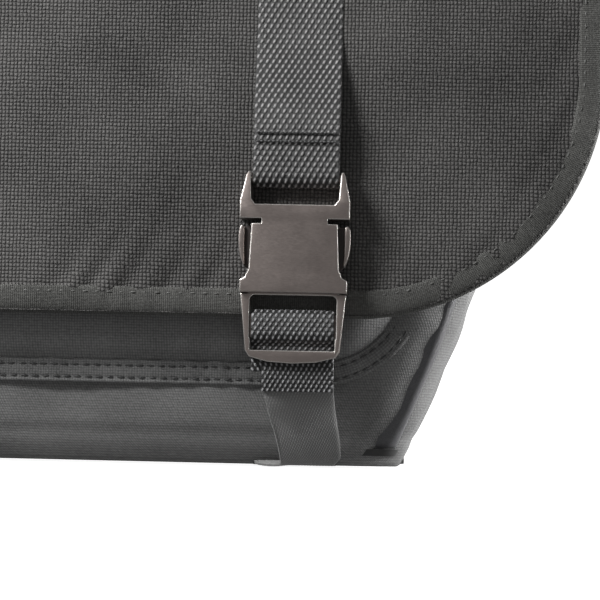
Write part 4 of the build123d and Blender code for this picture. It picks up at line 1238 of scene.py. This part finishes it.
def shoulder_half(step, columns):
    """Half of the shoulder strap as a grid: down the back, out on the floor, folded over and across."""
    u = np.linspace(-SHOULDER_HALF, SHOULDER_HALF, columns)
    v = np.arange(0, half_run + step, step)
    v = v[v < half_run]
    gu, gv = np.meshgrid(u, np.r_[v, half_run])
    x = SHOULDER_X + gu
    y = np.interp(gv, leg_run, leg_path[:, 0])
    z = np.interp(gv, leg_run, leg_path[:, 1])
    y = np.where(gv > bend_at, BEND_Y + gv - bend_at, y)
    ny, nz = np.interp(gv, leg_run, leg_out[:, 0]), np.interp(gv, leg_run, leg_out[:, 1])
    past = np.where(gv > bend_at - 1, (x + y - FOLD_SUM) / sqrt(2), -9)
    over = ease(np.clip(past / 1.2 + 0.5, 0, 1))
    fold_x = FOLD_SUM - y
    fold_y = FOLD_SUM - x
    drop_z = ease(np.clip((fold_x - (SHOULDER_X - SHOULDER_HALF) + 14) / 14, 0, 1))
    flipped = past > 0
    high_z = 0.85 + 1.75 * np.where(flipped, drop_z, 1)
    out_x = np.where(flipped, fold_x, x)
    out_y2 = np.where(flipped, fold_y, y)
    z = np.where(past > -2, 0.85 + (high_z - 0.85) * over, z)
    sign = np.where(flipped, -1.0, 1.0)
    normal = np.stack([0 * x, ny, nz], 2)
    normal[past > -2] = (0, 0, 1)
    return np.stack([out_x, out_y2, z], 2), normal * sign[..., None], gu, gv


def shoulder_face(sign, columns, step):
    p, n, gu, gv = shoulder_half(step, columns)
    edge = np.clip((SHOULDER_HALF - np.abs(gu)) / 1.4, 0, 1)
    crown = weave(gu + SHOULDER_HALF, gv, WIDE_PITCH, WIDE_ROW, 0.3)
    relief = 0.24 * (crown * edge + 0.4 * (1 - edge))
    half = 0.5 * (0.7 + 0.3 * edge)
    return p + n * (sign * (half + relief))[..., None], gu, gv


front, gu, gv = shoulder_face(1, 72, 0.62)
back, _, _ = shoulder_face(-1, 72, 0.62)
ring = np.concatenate([front, back[:, ::-1]], axis=1)
mirror_ring = ring[::-1][1:] * [-1, 1, 1]
whole = np.concatenate([ring, mirror_ring])
uv = np.stack([gu + SHOULDER_HALF, gv], 2)
uv = np.concatenate([uv, uv[:, ::-1]], axis=1)
uv = np.concatenate([uv, uv[::-1][1:]])
shoulder = tube_from("shoulder_webbing", whole, uv)
finish_piece(shoulder, wide_nylon, "bag", "shoulder_webbing", "shoulder_strap")

for word, x in (("left", -SHOULDER_X), ("right", SHOULDER_X)):
    node = "strap_anchor_" + word
    end = (46.2, 241.0) if word == "left" else (51.0, 229.0)
    line = [(54.0, low(node)[2] + 0.5), (48.6, 205), (44.0, 224), (41.4, 236), (39.4, 246.5), (40.6, 249.3),
            (43.4, 249.3), (45.0, 247.5), end]
    line = softened(line, 1.0, 5)
    anchor = strap_along("anchor_webbing_" + word, x, line[::-1], 2 * SHOULDER_HALF - 0.4, 1.4,
                         WIDE_PITCH, WIDE_ROW, 0.22, False)
    finish_piece(anchor, wide_nylon, "bag", "shoulder_webbing", node)
return_skin = Skin("strap_return_ply")
return_low = low("strap_return_ply")[2]
return_line = []
for z in np.arange(high("strap_return_ply")[2] - 2, return_low + 1, -4.0):
    hit = return_skin.hit((-SHOULDER_X, -400, z), (0, 1, 0))
    return_line.append((hit.y + 0.8, z))
return_line = softened(return_line, 1.0, 5)
ply = strap_along("return_webbing", -SHOULDER_X, return_line, 2 * SHOULDER_HALF - 0.6, 1.2,
                  WIDE_PITCH, WIDE_ROW, 0.2, False)
finish_piece(ply, wide_nylon, None, "shoulder_webbing", "strap_return_ply")
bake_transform(ply)
loop_low, loop_high = low("strap_end_loop"), high("strap_end_loop")
loop_y, loop_z = (loop_low[1] + loop_high[1]) / 2, (loop_low[2] + loop_high[2]) / 2
END_LOOP = [(1.5, -0.3), (1.5, 2.0), (0.8, 2.9), (-0.8, 2.9), (-1.5, 2.0), (-1.5, -2.0), (-0.8, -2.9),
            (0.8, -2.9), (1.5, -2.0), (1.5, -0.5)]
end_path = [(loop_y + y, loop_z + z) for y, z in END_LOOP]
end_path = softened(end_path, 0.5, 3)
end_loop = strap_along("end_webbing", -SHOULDER_X, end_path, 2 * SHOULDER_HALF - 1, 1.0,
                       WIDE_PITCH, WIDE_ROW, 0.15, False)
finish_piece(end_loop, wide_nylon, "strap_slider", "shoulder_webbing", "strap_end_loop")
bevelled("strap_ring", dark_metal, "bag", "strap_metal", 0.3)
bevelled("strap_slider", dark_metal, "strap_slider", "strap_metal", 0.4)
